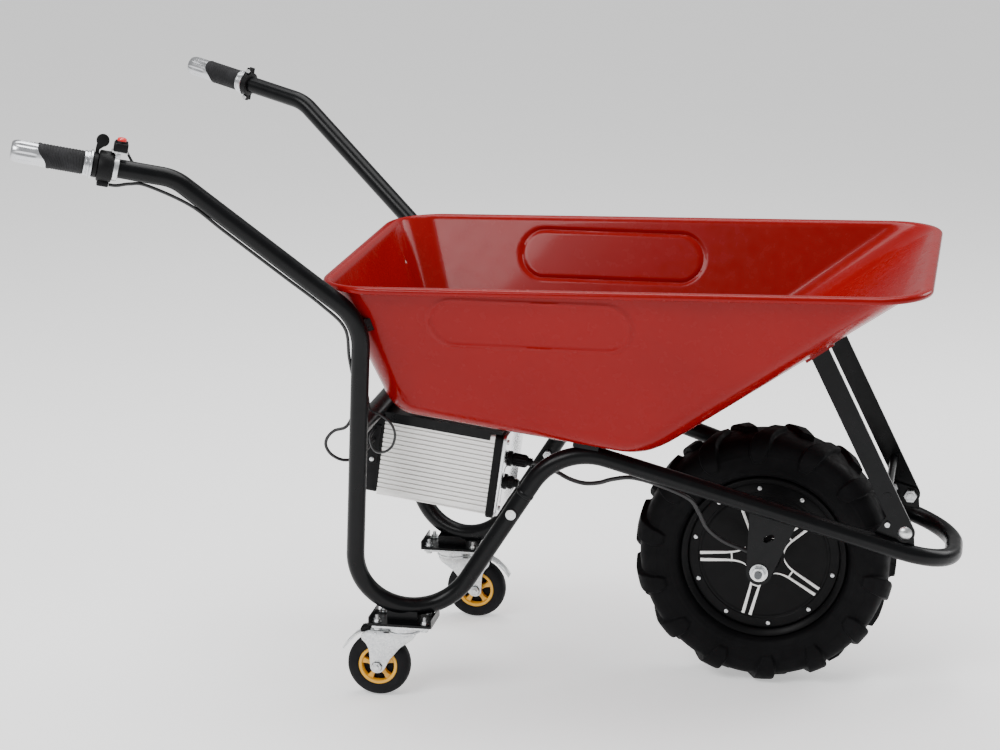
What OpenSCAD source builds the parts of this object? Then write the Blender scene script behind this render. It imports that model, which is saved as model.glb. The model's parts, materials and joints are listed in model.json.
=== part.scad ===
// Powered wheelbarrow: a bent tube frame, one driven wheel in front, two
// braked casters behind, and a pressed steel tray that tips forward.
// X runs forward, Y to the left of the person pushing, Z up.

/* [Overall] */
// Distance from the drive axle back to the handle ends
handle_back = 1058; // [950:1:1200]
// Height of the handle ends above the ground
handle_h = 893; // [840:1:980]
// Half the distance between the handle ends
handle_half = 450; // [400:1:500]
// Distance from the drive axle forward to the middle of the nose tube
nose_front = 295; // [285:1:360]

/* [Frame tube] */
// Outside diameter of the frame tube
tube_d = 28; // [25:0.5:32]
// Wall of the frame tube
tube_wall = 2; // [1.5:0.25:3]
// Radius of the bend under the legs
foot_bend_r = 94; // [85:1:105]

/* [Tray] */
// Length of the tray over its rim
tray_l = 913; // [780:1:1100]
// Width of the tray over its rim
tray_w = 594; // [560:1:720]
// Thickness of the tray's sheet
sheet = 2; // [1.5:0.25:4]
// Length of the flat floor
floor_l = 412; // [340:1:470]
// Width of the flat floor
floor_w = 380; // [330:1:420]
// Width of the flange round the rim
rim_flange = 14; // [8:1:20]

/* [Drive wheel] */
// Diameter of the drive tyre
tyre_d = 414; // [380:1:440]
// Width of the drive tyre
tyre_w = 104; // [80:1:110]
// Diameter of the rim's flanges
rim_d = 262; // [240:1:280]
// Width over the rim's flanges
rim_w = 76; // [66:1:90]
// Diameter of the motor covers
cover_d = 240; // [220:1:246]
// Diameter of the axle in its bearings
axle_d = 15; // [12:0.5:20]
// Screws round each motor cover
cover_screw_n = 10; // [6:1:12]
// Diameter of the circle of cover screws
cover_screw_pcd = 223; // [210:1:226]

/* [Casters] */
// Diameter of a caster wheel
caster_d = 100; // [90:1:105]
// Width of a caster wheel
caster_w = 30; // [22:1:32]
// Distance from the swivel axis back to the caster's axle
caster_trail = 40; // [30:1:46]
// Diameter of the caster's axle bolt
caster_axle_d = 10; // [8:0.5:12]

/* [Battery] */
// Length of the ribbed battery case
case_l = 178; // [150:1:200]
// Width of the battery case
case_w = 180; // [140:1:200]
// Height of the battery case
case_h = 136; // [110:1:145]
// Wall of the battery case
case_wall = 4; // [3:0.5:6]

/* [Handles] */
// Length of a rubber grip
grip_l = 58; // [50:1:80]
// Outside diameter of a rubber grip
grip_d = 36; // [34:1:42]

/* [Tip arms] */
// Width of a tip arm
arm_w = 30; // [26:1:36]
// Thickness of a tip arm
arm_t = 5; // [4:0.5:8]
// Diameter of the tip pivot bolts
pivot_d = 12; // [8:0.5:14]

/* [Hidden] */
$fn = 64;

RIGHT = -1;
LEFT = 1;
SIDES = [RIGHT, LEFT];
tube_r = tube_d / 2;
weld_gap = 0.05;    // between a welded piece and its tube
seat_gap = 0.3;     // between pieces on different bodies
running = 0.05;     // radial clearance of a shaft in its hole
slack = 0.1;        // radial clearance of a bolt in its hole
tube_sides = 24;
bore_sides = 16;
weld_r = tube_r / cos(180 / tube_sides) + weld_gap;     // of a cut for a tube

// The corners of one side of the frame, left side, measured from the axle
handle_end = [-handle_back, handle_half, handle_h];
upper_bend = [-843, 376, 846];
lower_bend = [-590, 274, 620];
foot_corner = [-636, 193, -103];
arch_corner = [-307, 165, 413.5];
nose_corner = [nose_front, 98, 229];
upper_bend_r = 70;
lower_bend_r = 90;
arch_bend_r = 100;
nose_bend_r = 90;

// The grips' ends and the nose are the farthest points, and the origin lies
// under the middle between them
grip_cap_reach = 6;
grip_cap_d = 27;
handle_dir = unit(upper_bend - handle_end);
grip_overhang = grip_cap_reach * handle_dir[0]
    + grip_cap_d / 2 * sqrt(1 - handle_dir[0] * handle_dir[0]);
axle_x = (handle_back + grip_overhang - nose_front - tube_r) / 2;

// Vectors and paths
function unit(v) = v / norm(v);
function mid(a, b) = (a + b) / 2;
function mirrored(p, side) = [p[0], side * p[1], p[2]];
function between(a, b, t) = a + (b - a) * t;
function at_height(a, b, z) = between(a, b, (z - a[2]) / (b[2] - a[2]));
function at_station(a, b, x) = between(a, b, (x - a[0]) / (b[0] - a[0]));

// Stations [point, direction] round the bend of radius r at corner q
function bend(p, q, s, r, steps) =
    let (a = unit(p - q), c = unit(s - q), half = acos(a * c) / 2,
        centre = q + unit(a + c) * r / sin(half),
        spoke = unit(q + a * r / tan(half) - centre))
    [for (i = [0 : steps]) let (t = (180 - 2 * half) * i / steps)
        [centre + r * (spoke * cos(t) - a * sin(t)),
         unit(-spoke * sin(t) - a * cos(t))]];

function bent_path(corners, radii, steps) =
    let (n = len(corners))
    concat([[corners[0], unit(corners[1] - corners[0])]],
        [for (i = [1 : n - 2])
            each bend(corners[i - 1], corners[i], corners[i + 1],
                radii[i - 1], steps[i - 1])],
        [[corners[n - 1], unit(corners[n - 1] - corners[n - 2])]]);

// Stations along a smooth curve through points
function through(p, steps) =
    let (n = len(p),
        q = concat([2 * p[0] - p[1]], p, [2 * p[n - 1] - p[n - 2]]))
    [for (i = [0 : n - 2], j = [0 : (i == n - 2 ? steps : steps - 1)])
        let (t = j / steps, a = q[i], b = q[i + 1], c = q[i + 2], d = q[i + 3])
        [0.5 * (2 * b + (c - a) * t + (2 * a - 5 * b + 4 * c - d) * t * t
            + (3 * b - a - 3 * c + d) * t * t * t),
         unit(c - a + 2 * (2 * a - 5 * b + 4 * c - d) * t
            + 3 * (3 * b - a - 3 * c + d) * t * t)]];

// A sideways vector carried along the stations without twist
function carried(stations, u, i = 0, out = []) =
    i == len(stations) ? out :
    let (t = stations[i][1], v = unit(u - (u * t) * t))
    carried(stations, v, i + 1, concat(out, [v]));

module swept(stations, r, sides) {
    first = stations[0][1];
    side = carried(stations, cross(first, [0.31, 0.17, 0.93]));
    points = [for (i = [0 : len(stations) - 1], k = [0 : sides - 1])
        let (t = stations[i][1], u = side[i], v = cross(t, u), a = 360 * k / sides)
        stations[i][0] + r * (u * cos(a) + v * sin(a))];
    last = (len(stations) - 1) * sides;
    walls = [for (i = [0 : len(stations) - 2], k = [0 : sides - 1])
        let (a = i * sides, b = a + sides, n = (k + 1) % sides)
        each [[a + k, b + k, b + n], [a + k, b + n, a + n]]];
    ends = [[for (k = [0 : sides - 1]) k],
            [for (k = [sides - 1 : -1 : 0]) last + k]];
    polyhedron(points = points, faces = concat(walls, ends), convexity = 10);
}

// A rod from a to b
module rod(a, b, d) {
    v = b - a;
    translate(a) rotate([0, acos(v[2] / norm(v)), atan2(v[1], v[0])])
        cylinder(h = norm(v), d = d);
}

// Children with their X, Y and Z axes turned to u, v and w, at p
module turned_to(p, u, v, w)
    multmatrix([[u[0], v[0], w[0], p[0]], [u[1], v[1], w[1], p[1]],
        [u[2], v[2], w[2], p[2]], [0, 0, 0, 1]]) children();

// Everything is drawn from the drive axle and moved to the origin here
module placed() translate([axle_x, 0, 0]) children();

// A cylinder along Y between two offsets
module across(x, z, y0, y1, d, sides = 64)
    translate([x, y0, z]) rotate([-90, 0, 0])
        cylinder(h = y1 - y0, d = d, $fn = sides);

module hex_prism(af, h) cylinder(h = h, d = af / cos(30), $fn = 6);

module ring(outer_d, inner_d, h) difference() {
    cylinder(h = h, d = outer_d);
    translate([0, 0, -1]) cylinder(h = h + 2, d = inner_d);
}

// ---- Frame ----

// The tubes are joined by a spigot and a bolt on the rising part
joint_h = 302;
joint_bolt_d = 8;
joint_lap = 32;
rise_dir = unit(arch_corner - foot_corner);
joint_mid = at_height(foot_corner, arch_corner, joint_h);
joint_end = joint_mid + rise_dir * joint_lap;

function handle_path(side) = bent_path(
    [for (p = [handle_end, upper_bend, lower_bend, foot_corner, joint_end])
        mirrored(p, side)],
    [upper_bend_r, lower_bend_r, foot_bend_r], [5, 7, 14]);

function longer(path, extra) = let (n = len(path))
    concat([[path[0][0] - path[0][1] * extra, path[0][1]]],
        [for (i = [1 : n - 2]) path[i]],
        [[path[n - 1][0] + path[n - 1][1] * extra, path[n - 1][1]]]);

module joint_hole(side) {
    p = mirrored(joint_mid, side);
    across(p[0], p[2], p[1] - tube_d, p[1] + tube_d, joint_bolt_d + 2 * slack);
}

module handle_tube(side) color("#202124") placed() difference() {
    swept(handle_path(side), tube_r, tube_sides);
    swept(longer(handle_path(side), 1), tube_r - tube_wall, bore_sides);
    joint_hole(side);
}
module handle_tube_right() handle_tube(RIGHT);
module handle_tube_left() handle_tube(LEFT);

front_start = joint_end + rise_dir * seat_gap;
front_path = bent_path(
    concat([for (p = [front_start, arch_corner, nose_corner]) mirrored(p, RIGHT)],
        [for (p = [nose_corner, arch_corner, front_start]) mirrored(p, LEFT)]),
    [arch_bend_r, nose_bend_r, nose_bend_r, arch_bend_r], [9, 9, 9, 9]);

// The bore of a 16-sided tube is narrowest across its flats
spigot_r = (tube_r - tube_wall) * cos(180 / bore_sides) - slack;

module front_frame() color("#202124") placed() difference() {
    union() {
        difference() {
            swept(front_path, tube_r, tube_sides);
            swept(longer(front_path, 1), tube_r - tube_wall, bore_sides);
        }
        for (side = SIDES) {
            a = mirrored(joint_mid - rise_dir * joint_lap, side);
            b = mirrored(joint_end + rise_dir * joint_lap / 2, side);
            rod(a, b, 2 * spigot_r);
        }
        for (side = SIDES) {
            a = mirrored(joint_end + rise_dir * 2, side);
            b = mirrored(joint_end + rise_dir * joint_lap / 2, side);
            rod(a, b, tube_d - tube_wall);
        }
    }
    for (side = SIDES) joint_hole(side);
}

module frame_bolts() color("#c9c9c6") placed() for (side = SIDES) {
    p = mirrored(joint_mid, side);
    translate(p) rotate([side * -90, 0, 0]) {
        translate([0, 0, -tube_r - 9]) cylinder(h = tube_d + 9.5, d = joint_bolt_d);
        translate([0, 0, tube_r + 0.5]) cylinder(h = 4, d = 16);
        translate([0, 0, -tube_r - 7.5]) hex_prism(13, 7);
    }
}

// The cross tube joins the legs and carries the rear of the tray
cross_h = 446;
cross_end = at_height(foot_corner, lower_bend, cross_h);
module rear_cross_tube() color("#202124") placed() difference() {
    across(cross_end[0], cross_h, -cross_end[1], cross_end[1], tube_d);
    across(cross_end[0], cross_h, -cross_end[1] - 1, cross_end[1] + 1,
        tube_d - 2 * tube_wall);
    for (side = SIDES) rod(mirrored(foot_corner, side), mirrored(lower_bend, side),
        tube_d + 2 * weld_gap);
}

// The tray's floor slopes down to the front
floor_tilt = 7.7;
floor_start = [cross_end[0], 0, cross_h]
    + (tube_r + seat_gap) * [sin(floor_tilt), 0, cos(floor_tilt)];
function floor_under(x) = floor_start[2] - (x - floor_start[0]) * tan(floor_tilt);

// Children drawn under the floor: X forward along it, Z away from it
module under_floor() translate(floor_start) rotate([0, floor_tilt, 0]) children();

// The highest point of the arch
arch_half = acos(unit(foot_corner - arch_corner) * unit(nose_corner - arch_corner)) / 2;
arch_centre = arch_corner + arch_bend_r / sin(arch_half)
    * unit(unit(foot_corner - arch_corner) + unit(nose_corner - arch_corner));
arch_top_h = arch_centre[2] + arch_bend_r + tube_r;
rest_w = 40;
// The floor's own height over the arch sets the bar's thickness
rest_x = (arch_centre[0] - floor_start[0]) / cos(floor_tilt)
    - (floor_under(arch_centre[0]) - arch_top_h) * sin(floor_tilt);
rest_t = (floor_under(arch_centre[0]) - arch_top_h) * cos(floor_tilt) + 2;

module tray_rest_bar() color("#202124") placed() difference() {
    under_floor() translate([rest_x - rest_w / 2, -arch_centre[1] - 10, -rest_t])
        cube([rest_w, 2 * arch_centre[1] + 20, rest_t - seat_gap]);
    for (side = SIDES) swept([for (s = front_path)
        if (s[0][0] < 0 && side * s[0][1] > 0) s], weld_r, tube_sides);
}

// Lugs beside the lower bends steady the rear corners of the tray
lug_z = 612;
module corner_lugs() color("#202124") placed() for (side = SIDES) {
    p = mirrored(at_height(foot_corner, lower_bend, lug_z), side);
    difference() {
        translate([p[0] + 2, p[1] - side * 14, p[2] - 10]) rotate([0, 0, -side * 60])
            translate([-15, -9, 0]) cube([30, 18, 20]);
        swept(handle_path(side), weld_r, tube_sides);
        tray_outside(0.5);
    }
}

// ---- Drive axle in its plates ----

plate_y = 108;      // inner face of an axle plate
plate_t = 6;
plate_eye_r = 20;
plate_rear = -16;
plate_front = 64;
function side_tube(x) = at_station(arch_corner, nose_corner, x);

module axle_plate_outline() {
    difference() {
        union() {
            circle(r = plate_eye_r);
            polygon([[-plate_eye_r, 0], [plate_eye_r, -2],
                [plate_front, side_tube(plate_front)[2] - tyre_d / 2 + 4],
                [plate_rear, side_tube(plate_rear)[2] - tyre_d / 2 + 4]]);
        }
        circle(d = axle_thread_d + 2 * slack);
        for (dx = [0, 8]) translate([10 + dx, 54 + dx / 2]) circle(d = 10);
        translate([14, 56]) rotate(atan(0.5)) square([9, 10], center = true);
    }
}

module axle_plates() color("#202124") placed() for (side = SIDES)
    mirror([0, side == RIGHT ? 1 : 0, 0]) difference() {
        union() {
            translate([0, plate_y + plate_t, tyre_d / 2]) rotate([90, 0, 0])
                linear_extrude(plate_t) axle_plate_outline();
            top = side_tube(plate_rear)[2];
            slope = atan((side_tube(plate_front)[2] - top) / (plate_front - plate_rear));
            translate([plate_rear, plate_y + plate_t - 1, top - 12])
                rotate([0, -slope, 0])
                    cube([plate_front - plate_rear, side_tube(0)[1] - plate_y - 8, plate_t]);
        }
        rod(arch_corner, nose_corner, tube_d + 2 * weld_gap);
    }

axle_thread_d = 12;
axle_end = plate_y + plate_t + 16;
collar_y = 78;
cover_y = 28;       // outer face of a motor cover
cover_t = 5;
boss_y = 40;        // outer end of a cover's bearing boss
module wheel_axle() color("#9a9c9e") placed() {
    z = tyre_d / 2;
    difference() {
        union() {
            across(0, z, -plate_y, plate_y, axle_d);
            across(0, z, -axle_end, axle_end, axle_thread_d);
            for (side = SIDES) across(0, z, min(side * 52, side * plate_y),
                max(side * 52, side * plate_y), axle_d + 6);
        }
        // The motor's wires leave through a groove in the right end
        translate([0, -collar_y, z + axle_d / 2]) sphere(d = motor_cable_d + 5);
    }
}

module axle_nuts() color("#b9babb") placed() for (side = SIDES)
    translate([0, side * (plate_y + plate_t), tyre_d / 2]) rotate([-side * 90, 0, 0])
        difference() {
            union() {
                cylinder(h = 2.5, d = 28);
                translate([0, 0, 2.5]) hex_prism(19, 10);
            }
            translate([0, 0, -1]) cylinder(h = 20, d = axle_thread_d + 2 * slack);
        }

// ---- Tip pivot ----

pivot = [222, 282];         // X and Z of the tip axis
lug_y = 97.7;               // inner face of a pivot lug
lug_t = 6;
arm_y = lug_y + lug_t + seat_gap;
arm_top = [82, 564];        // middle of an arm where it meets its bracket
arm_dir = unit(arm_top - pivot);
arm_back = [-arm_dir[1], arm_dir[0]];
stop_d = 8;
stop_at = pivot + 23 * arm_dir + (arm_w / 2 + stop_d / 2 + seat_gap) * arm_back;

module pivot_lugs() color("#202124") placed() for (side = SIDES)
    mirror([0, side == RIGHT ? 1 : 0, 0]) difference() {
        translate([0, lug_y + lug_t, 0]) rotate([90, 0, 0]) linear_extrude(lug_t)
            difference() {
                union() {
                    translate(pivot) circle(r = 13);
                    translate(stop_at) circle(r = 9);
                    polygon([stop_at + [-9, 0], stop_at + [3, 8.5],
                        pivot + [4, 12.3], pivot + [13, 0], [238, 246], [166, 266]]);
                }
                translate(pivot) circle(d = pivot_d + 2 * slack);
                translate(stop_at) circle(d = stop_d + 2 * slack);
            }
        swept([for (s = front_path) if (s[0][1] > 0 && s[0][0] > -250) s],
            weld_r, tube_sides);
    }

bolt_head_h = 5;
module pivot_bolts() color("#c9c9c6") placed() for (side = SIDES)
    mirror([0, side == RIGHT ? 1 : 0, 0]) {
        across(pivot[0], pivot[1], lug_y - 11, arm_y + arm_t + 1, pivot_d);
        difference() {
            translate([pivot[0], arm_y + arm_t + seat_gap - 9, pivot[1]]) sphere(r = 14);
            translate([pivot[0] - 20, arm_y + arm_t + seat_gap - 40, pivot[1] - 20])
                cube([40, 40, 40]);
        }
        translate([pivot[0], lug_y - 0.1, pivot[1]]) rotate([90, 0, 0]) hex_prism(18, 9);
        across(stop_at[0], stop_at[1], lug_y - 8, arm_y + arm_t + 1, stop_d);
        translate([stop_at[0], lug_y - 0.1, stop_at[1]]) rotate([90, 0, 0])
            hex_prism(13, 6);
    }

// ---- Hub motor ----

module motor_stator() color("#8a5a34") placed() {
    slots = 18;
    r = stator_d / 2;
    translate([0, 0, tyre_d / 2]) rotate([90, 0, 0]) difference() {
        translate([0, 0, -stator_w / 2]) cylinder(h = stator_w, r = r);
        translate([0, 0, -stator_w]) cylinder(h = 2 * stator_w, d = axle_d + 0.1);
        for (i = [0 : slots - 1]) rotate(360 * i / slots)
            translate([r - 24, -3, -stator_w]) cube([40, 6, 2 * stator_w]);
        for (i = [0 : 5]) rotate(60 * i)
            translate([r / 2, 0, -stator_w]) cylinder(h = 2 * stator_w, d = 30);
    }
}
drum_d = 224;           // inside of the hub's drum
magnet_t = 3;
air_gap = 0.8;
stator_d = drum_d - 2 * magnet_t - 2 * air_gap;
stator_w = 34;

module around_axle(y0 = 0) translate([0, y0, tyre_d / 2]) rotate([90, 0, 0]) children();

module hub_shell() color("#1c1c1e") placed() around_axle() {
    rotate_extrude() {
        half = rim_w / 2;
        inner = cover_y - cover_t;
        polygon([[drum_d / 2, -inner], [cover_d / 2 + 0.3, -inner],
            [cover_d / 2 + 0.3, -half + 4], [rim_d / 2 - 3, -half],
            [rim_d / 2, -half + 2], [rim_d / 2 - 2, -half + 5],
            [base_r, -half + 7], [base_r, half - 7],
            [rim_d / 2 - 2, half - 5], [rim_d / 2, half - 2],
            [rim_d / 2 - 3, half], [cover_d / 2 + 0.3, half - 4],
            [cover_d / 2 + 0.3, inner], [drum_d / 2, inner]]);
    }
}

bead_depth = 7;         // height of the rim's flanges over the bead seat
base_r = rim_d / 2 - bead_depth;
bearing_d = 35;
bearing_w = 11;
module motor_cover(side) color("#222326") placed() difference() {
    mirror([0, side == RIGHT ? 1 : 0, 0]) around_axle() {
        translate([0, 0, -cover_y]) cylinder(h = cover_t, d = cover_d);
        translate([0, 0, -boss_y]) cylinder(h = boss_y - cover_y + cover_t + 2, d = 52);
    }
    mirror([0, side == RIGHT ? 1 : 0, 0]) around_axle() {
        translate([0, 0, -boss_y + 4]) cylinder(h = 40, d = bearing_d);
        translate([0, 0, -boss_y - 1]) cylinder(h = 40, d = axle_d + 6);
        for (i = [0 : cover_screw_n - 1]) rotate(360 * (i + 0.63) / cover_screw_n)
            translate([cover_screw_pcd / 2, 0, -cover_y - 1]) cylinder(h = 9, d = 4.2);
    }
}
module motor_cover_right() motor_cover(RIGHT);
module motor_cover_left() motor_cover(LEFT);

// Machined outlines of five forked spokes, raised a little from each cover
spoke_n = 5;
trim_t = 1.2;
module spoke_line(a, b, w) translate(a) rotate(atan2(b[1] - a[1], b[0] - a[0]))
    translate([0, -w / 2]) square([norm(b - a), w]);
module spoke_trim() color("#e8e8e6") placed() for (side = SIDES)
    mirror([0, side == RIGHT ? 1 : 0, 0]) around_axle()
        for (i = [0 : spoke_n - 1]) rotate(360 * (i + 0.547) / spoke_n)
            translate([0, 0, -cover_y - trim_t]) linear_extrude(trim_t) {
                for (s = SIDES) {
                    spoke_line([50, s * 6], [102, s * 12.5], 4);
                    spoke_line([50, s * 6], [34, s * 17], 3);
                }
                spoke_line([50, -7], [50, 7], 3);
            }

module cover_screws() color("#b9babb") placed() for (side = SIDES)
    mirror([0, side == RIGHT ? 1 : 0, 0]) around_axle()
        for (i = [0 : cover_screw_n - 1]) rotate(360 * (i + 0.63) / cover_screw_n)
            translate([cover_screw_pcd / 2, 0, -cover_y - 2.5]) {
                cylinder(h = 2.4, d = 7);
                cylinder(h = 7.4, d = 4);
            }

module rotor_magnets() color("#5d6064") placed() around_axle()
    for (i = [0 : 19]) rotate(18 * i) intersection() {
        translate([0, 0, -15]) ring(drum_d - 0.04, drum_d - 2 * magnet_t, 30);
        translate([drum_d / 2 - 10, -14, -20]) cube([20, 28, 40]);
    }

module hub_bearings() color("#b4b6b8") placed() for (side = SIDES)
    mirror([0, side == RIGHT ? 1 : 0, 0]) around_axle()
        translate([0, 0, -boss_y + 4.05])
            ring(bearing_d - 0.02, axle_d + 2 * running, bearing_w);

// The tyre is one tube-shaped casing, open to the rim between its beads
module drive_tyre() color("#17181a") placed() around_axle() {
    outer = tyre_d / 2;
    seat = rim_w / 2 - 7.4;
    crown = tyre_w / 2;
    rotate_extrude() difference() {
        polygon([[base_r + 0.1, -seat], [rim_d / 2 + 1, -seat],
            [rim_d / 2 + 6, -crown + 9], [rim_d / 2 + 26, -crown + 1],
            [outer - 28, -crown + 1], [outer - 14, -crown], [outer - 4, -crown + 14],
            [outer, -crown + 30], [outer, crown - 30], [outer - 4, crown - 14],
            [outer - 14, crown], [outer - 28, crown - 1],
            [rim_d / 2 + 26, crown - 1], [rim_d / 2 + 6, crown - 9],
            [rim_d / 2 + 1, seat], [base_r + 0.1, seat]]);
        polygon([[base_r - 1, -seat + 9], [rim_d / 2 + 8, -seat + 7],
            [rim_d / 2 + 28, -crown + 13], [outer - 32, -crown + 14],
            [outer - 20, -crown + 26], [outer - 20, crown - 26],
            [outer - 32, crown - 14], [rim_d / 2 + 28, crown - 13],
            [rim_d / 2 + 8, seat - 7], [base_r - 1, seat - 9]]);
    }
}

// ---- Tray ----

rim_rear_x = -661;
rim_rear_h = 672;
rim_front_h = 690;
rim_tilt = atan((rim_front_h - rim_rear_h) / 913);
rim_rear_r = 95;
rim_front_r = 85;
floor_r = 60;
floor_rear_r = 40;
mouth_rear_r = 55;  // inner corner of the rim at the rear
floor_rear_x = -568;
sole_rise = 13;     // height of the rounding between floor and walls

// A plate with round corners, rear corners rr and front corners fr
module rounded_plan(x0, x1, w, rr, fr) hull() {
    for (s = SIDES) {
        translate([x0 + rr, s * (w / 2 - rr)]) circle(r = rr, $fn = 32);
        translate([x1 - fr, s * (w / 2 - fr)]) circle(r = fr, $fn = 32);
    }
}

// The tray's solid form, grown by g all round, between its floor and its rim
module tray_form(g, lift, top) hull() {
    under_floor() {
        x0 = (floor_rear_x - floor_start[0]) / cos(floor_tilt);
        translate([0, 0, lift]) linear_extrude(0.1)
            rounded_plan(x0 + 14 - g, x0 + floor_l - 14 + g, floor_w - 28 + 2 * g,
                floor_rear_r - 14 + g, floor_r - 14 + g);
        translate([0, 0, sole_rise]) linear_extrude(0.1)
            rounded_plan(x0 - 6 - g, x0 + floor_l + 10 + g, floor_w + 12 + 2 * g,
                floor_rear_r + g, floor_r + g);
    }
    translate([rim_rear_x, 0, rim_rear_h]) rotate([0, -rim_tilt, 0])
        translate([0, 0, top - 0.1]) linear_extrude(0.1)
            rounded_plan(rim_flange - g, tray_l - rim_flange + g,
                tray_w - 2 * rim_flange + 2 * g,
                mouth_rear_r + g, rim_front_r - rim_flange + g);
}
module tray_outside(g) tray_form(g, -g, 0);

// Two empty holes through the rear wall, bored square to it
tray_hole_half = 190;
tray_hole_h = 612;
tray_hole_d = 9;
rear_foot = floor_start + rot_floor([(floor_rear_x - floor_start[0]) / cos(floor_tilt) - 6,
    0, sole_rise]);
rear_head = [rim_rear_x, 0, rim_rear_h] + rim_flange * [cos(rim_tilt), 0, sin(rim_tilt)];
rear_dir = unit(rear_head - rear_foot);
rear_lean = atan2(-rear_dir[0], rear_dir[2]);
tray_hole_x = rear_foot[0] + rear_dir[0] / rear_dir[2] * (tray_hole_h - rear_foot[2]);

module tray() color("#c4161c") placed() difference() {
    union() {
        tray_form(0, 0, 0);
        translate([rim_rear_x, 0, rim_rear_h]) rotate([0, -rim_tilt, 0])
            translate([0, 0, -8]) linear_extrude(8)
                rounded_plan(0, tray_l, tray_w, rim_rear_r, rim_front_r);
    }
    tray_form(-sheet, sheet, 1);
    translate([rim_rear_x, 0, rim_rear_h]) rotate([0, -rim_tilt, 0]) difference() {
        translate([0, 0, -9]) linear_extrude(9 - sheet)
            rounded_plan(sheet, tray_l - sheet, tray_w - 2 * sheet,
                rim_rear_r - sheet, rim_front_r - sheet);
        translate([0, 0, -10]) linear_extrude(12)
            rounded_plan(rim_flange, tray_l - rim_flange, tray_w - 2 * rim_flange,
                mouth_rear_r, rim_front_r - rim_flange);
    }
    for (s = SIDES) translate([tray_hole_x, s * tray_hole_half, tray_hole_h])
        rotate([0, 90 - rear_lean, 0]) translate([0, 0, -10])
            cylinder(h = 20, d = tray_hole_d);
}

// The front wall, from the front of the floor to the rim
wall_foot = floor_start + rot_floor([(floor_rear_x - floor_start[0]) / cos(floor_tilt)
    + floor_l + 10, 0, sole_rise]);
wall_head = [rim_rear_x, 0, rim_rear_h]
    + (tray_l - rim_flange) * [cos(rim_tilt), 0, sin(rim_tilt)];
function rot_floor(p) = [p[0] * cos(floor_tilt) + p[2] * sin(floor_tilt), p[1],
    -p[0] * sin(floor_tilt) + p[2] * cos(floor_tilt)];
wall_dir = unit(wall_head - wall_foot);
wall_out = [wall_dir[2], 0, -wall_dir[0]];
bracket_l = 50;
bracket_depth = 15;
bracket_w = 2 * (arm_y + arm_t + 14);
// Where an arm's middle line runs into the wall
function arm_to_wall() =
    let (n = [wall_out[0], wall_out[2]], w = [wall_foot[0], wall_foot[2]])
    ((w - pivot) * n) / (arm_dir * n);
arm_reach = arm_to_wall();
wall_hit = pivot + arm_reach * arm_dir;

module tip_arm_plan(reach, w) {
    turned = atan2(arm_dir[1], arm_dir[0]);
    translate(pivot) {
        circle(d = w);
        rotate(turned) translate([0, -w / 2]) square([reach, w]);
    }
}

module arm_solid(side, reach, w, y0, y1) mirror([0, side == RIGHT ? 1 : 0, 0])
    translate([0, y1, 0]) rotate([90, 0, 0]) linear_extrude(y1 - y0)
        tip_arm_plan(reach, w);

module tray_bracket() color("#b4141a") placed() difference() {
    turned_to([wall_hit[0], 0, wall_hit[1]], wall_dir, [0, 1, 0],
            cross(wall_dir, [0, 1, 0]))
        translate([-bracket_l / 2, -bracket_w / 2, -bracket_depth - 0.1])
            cube([bracket_l, bracket_w, bracket_depth]);
    for (side = SIDES) arm_solid(side, arm_reach + 20, arm_w + 2 * slack,
        arm_y - slack, arm_y + arm_t + slack);
}

rod_at = pivot + 65 * arm_dir;
cross_rod_d = 12;
module tip_arm(side) color("#202124") placed() difference() {
    arm_solid(side, arm_reach - 7, arm_w, arm_y, arm_y + arm_t);
    across(pivot[0], pivot[1], -200, 200, pivot_d + 2 * slack);
    across(rod_at[0], rod_at[1], -200, 200, cross_rod_d + 0.1);
}
module tip_arm_right() tip_arm(RIGHT);
module tip_arm_left() tip_arm(LEFT);

module arm_cross_rod() color("#202124") placed()
    across(rod_at[0], rod_at[1], -arm_y - arm_t - 1, arm_y + arm_t + 1, cross_rod_d);

// ---- Battery and controller, hung under the floor ----

mount_drop = tube_d + seat_gap + 0.1;   // top of the mount below the floor
mount_t = 4;
battery_top = mount_drop + mount_t + 0.1;
battery_rear = 8;
front_frame_t = 12;
front_plate_t = 6;
rear_cap_t = 26;
rib_n = 15;

module battery_case() color("#c4c6c8") placed() under_floor()
    translate([battery_rear, 0, -battery_top - case_h]) difference() {
        translate([0, -case_w / 2, 0]) cube([case_l, case_w, case_h]);
        translate([-1, -case_w / 2 + case_wall, case_wall])
            cube([case_l + 2, case_w - 2 * case_wall, case_h - 2 * case_wall]);
        pitch = (case_h - 24) / rib_n;
        for (s = SIDES, i = [0 : rib_n - 1])
            translate([-1, s * case_w / 2 - 1.2, 10 + pitch * (i + 0.5)])
                cube([case_l + 2, 2.4, 2.2]);
    }

module battery_rear_cap() color("#191a1c") placed() under_floor()
    translate([battery_rear - rear_cap_t - 0.05, 0, -battery_top - case_h]) {
        difference() {
            translate([0, -case_w / 2 - 2, 4]) cube([rear_cap_t, case_w + 4, case_h - 6]);
            translate([8, -case_w / 2 + 8, 14])
                cube([rear_cap_t, case_w - 16, case_h - 28]);
        }
        // A carrying bracket on the right of the cap
        translate([-12, -case_w / 2 + 4, 46]) cube([12, 16, 74]);
    }

module battery_front_frame() color("#191a1c") placed() under_floor()
    translate([battery_rear + case_l + 0.05, 0, -battery_top - case_h - 4])
        difference() {
            translate([0, -case_w / 2 - 4, 0]) cube([front_frame_t, case_w + 8, case_h + 4]);
            translate([-1, -case_w / 2 + 8, 10])
                cube([front_frame_t + 2, case_w - 16, case_h - 16]);
        }

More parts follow.
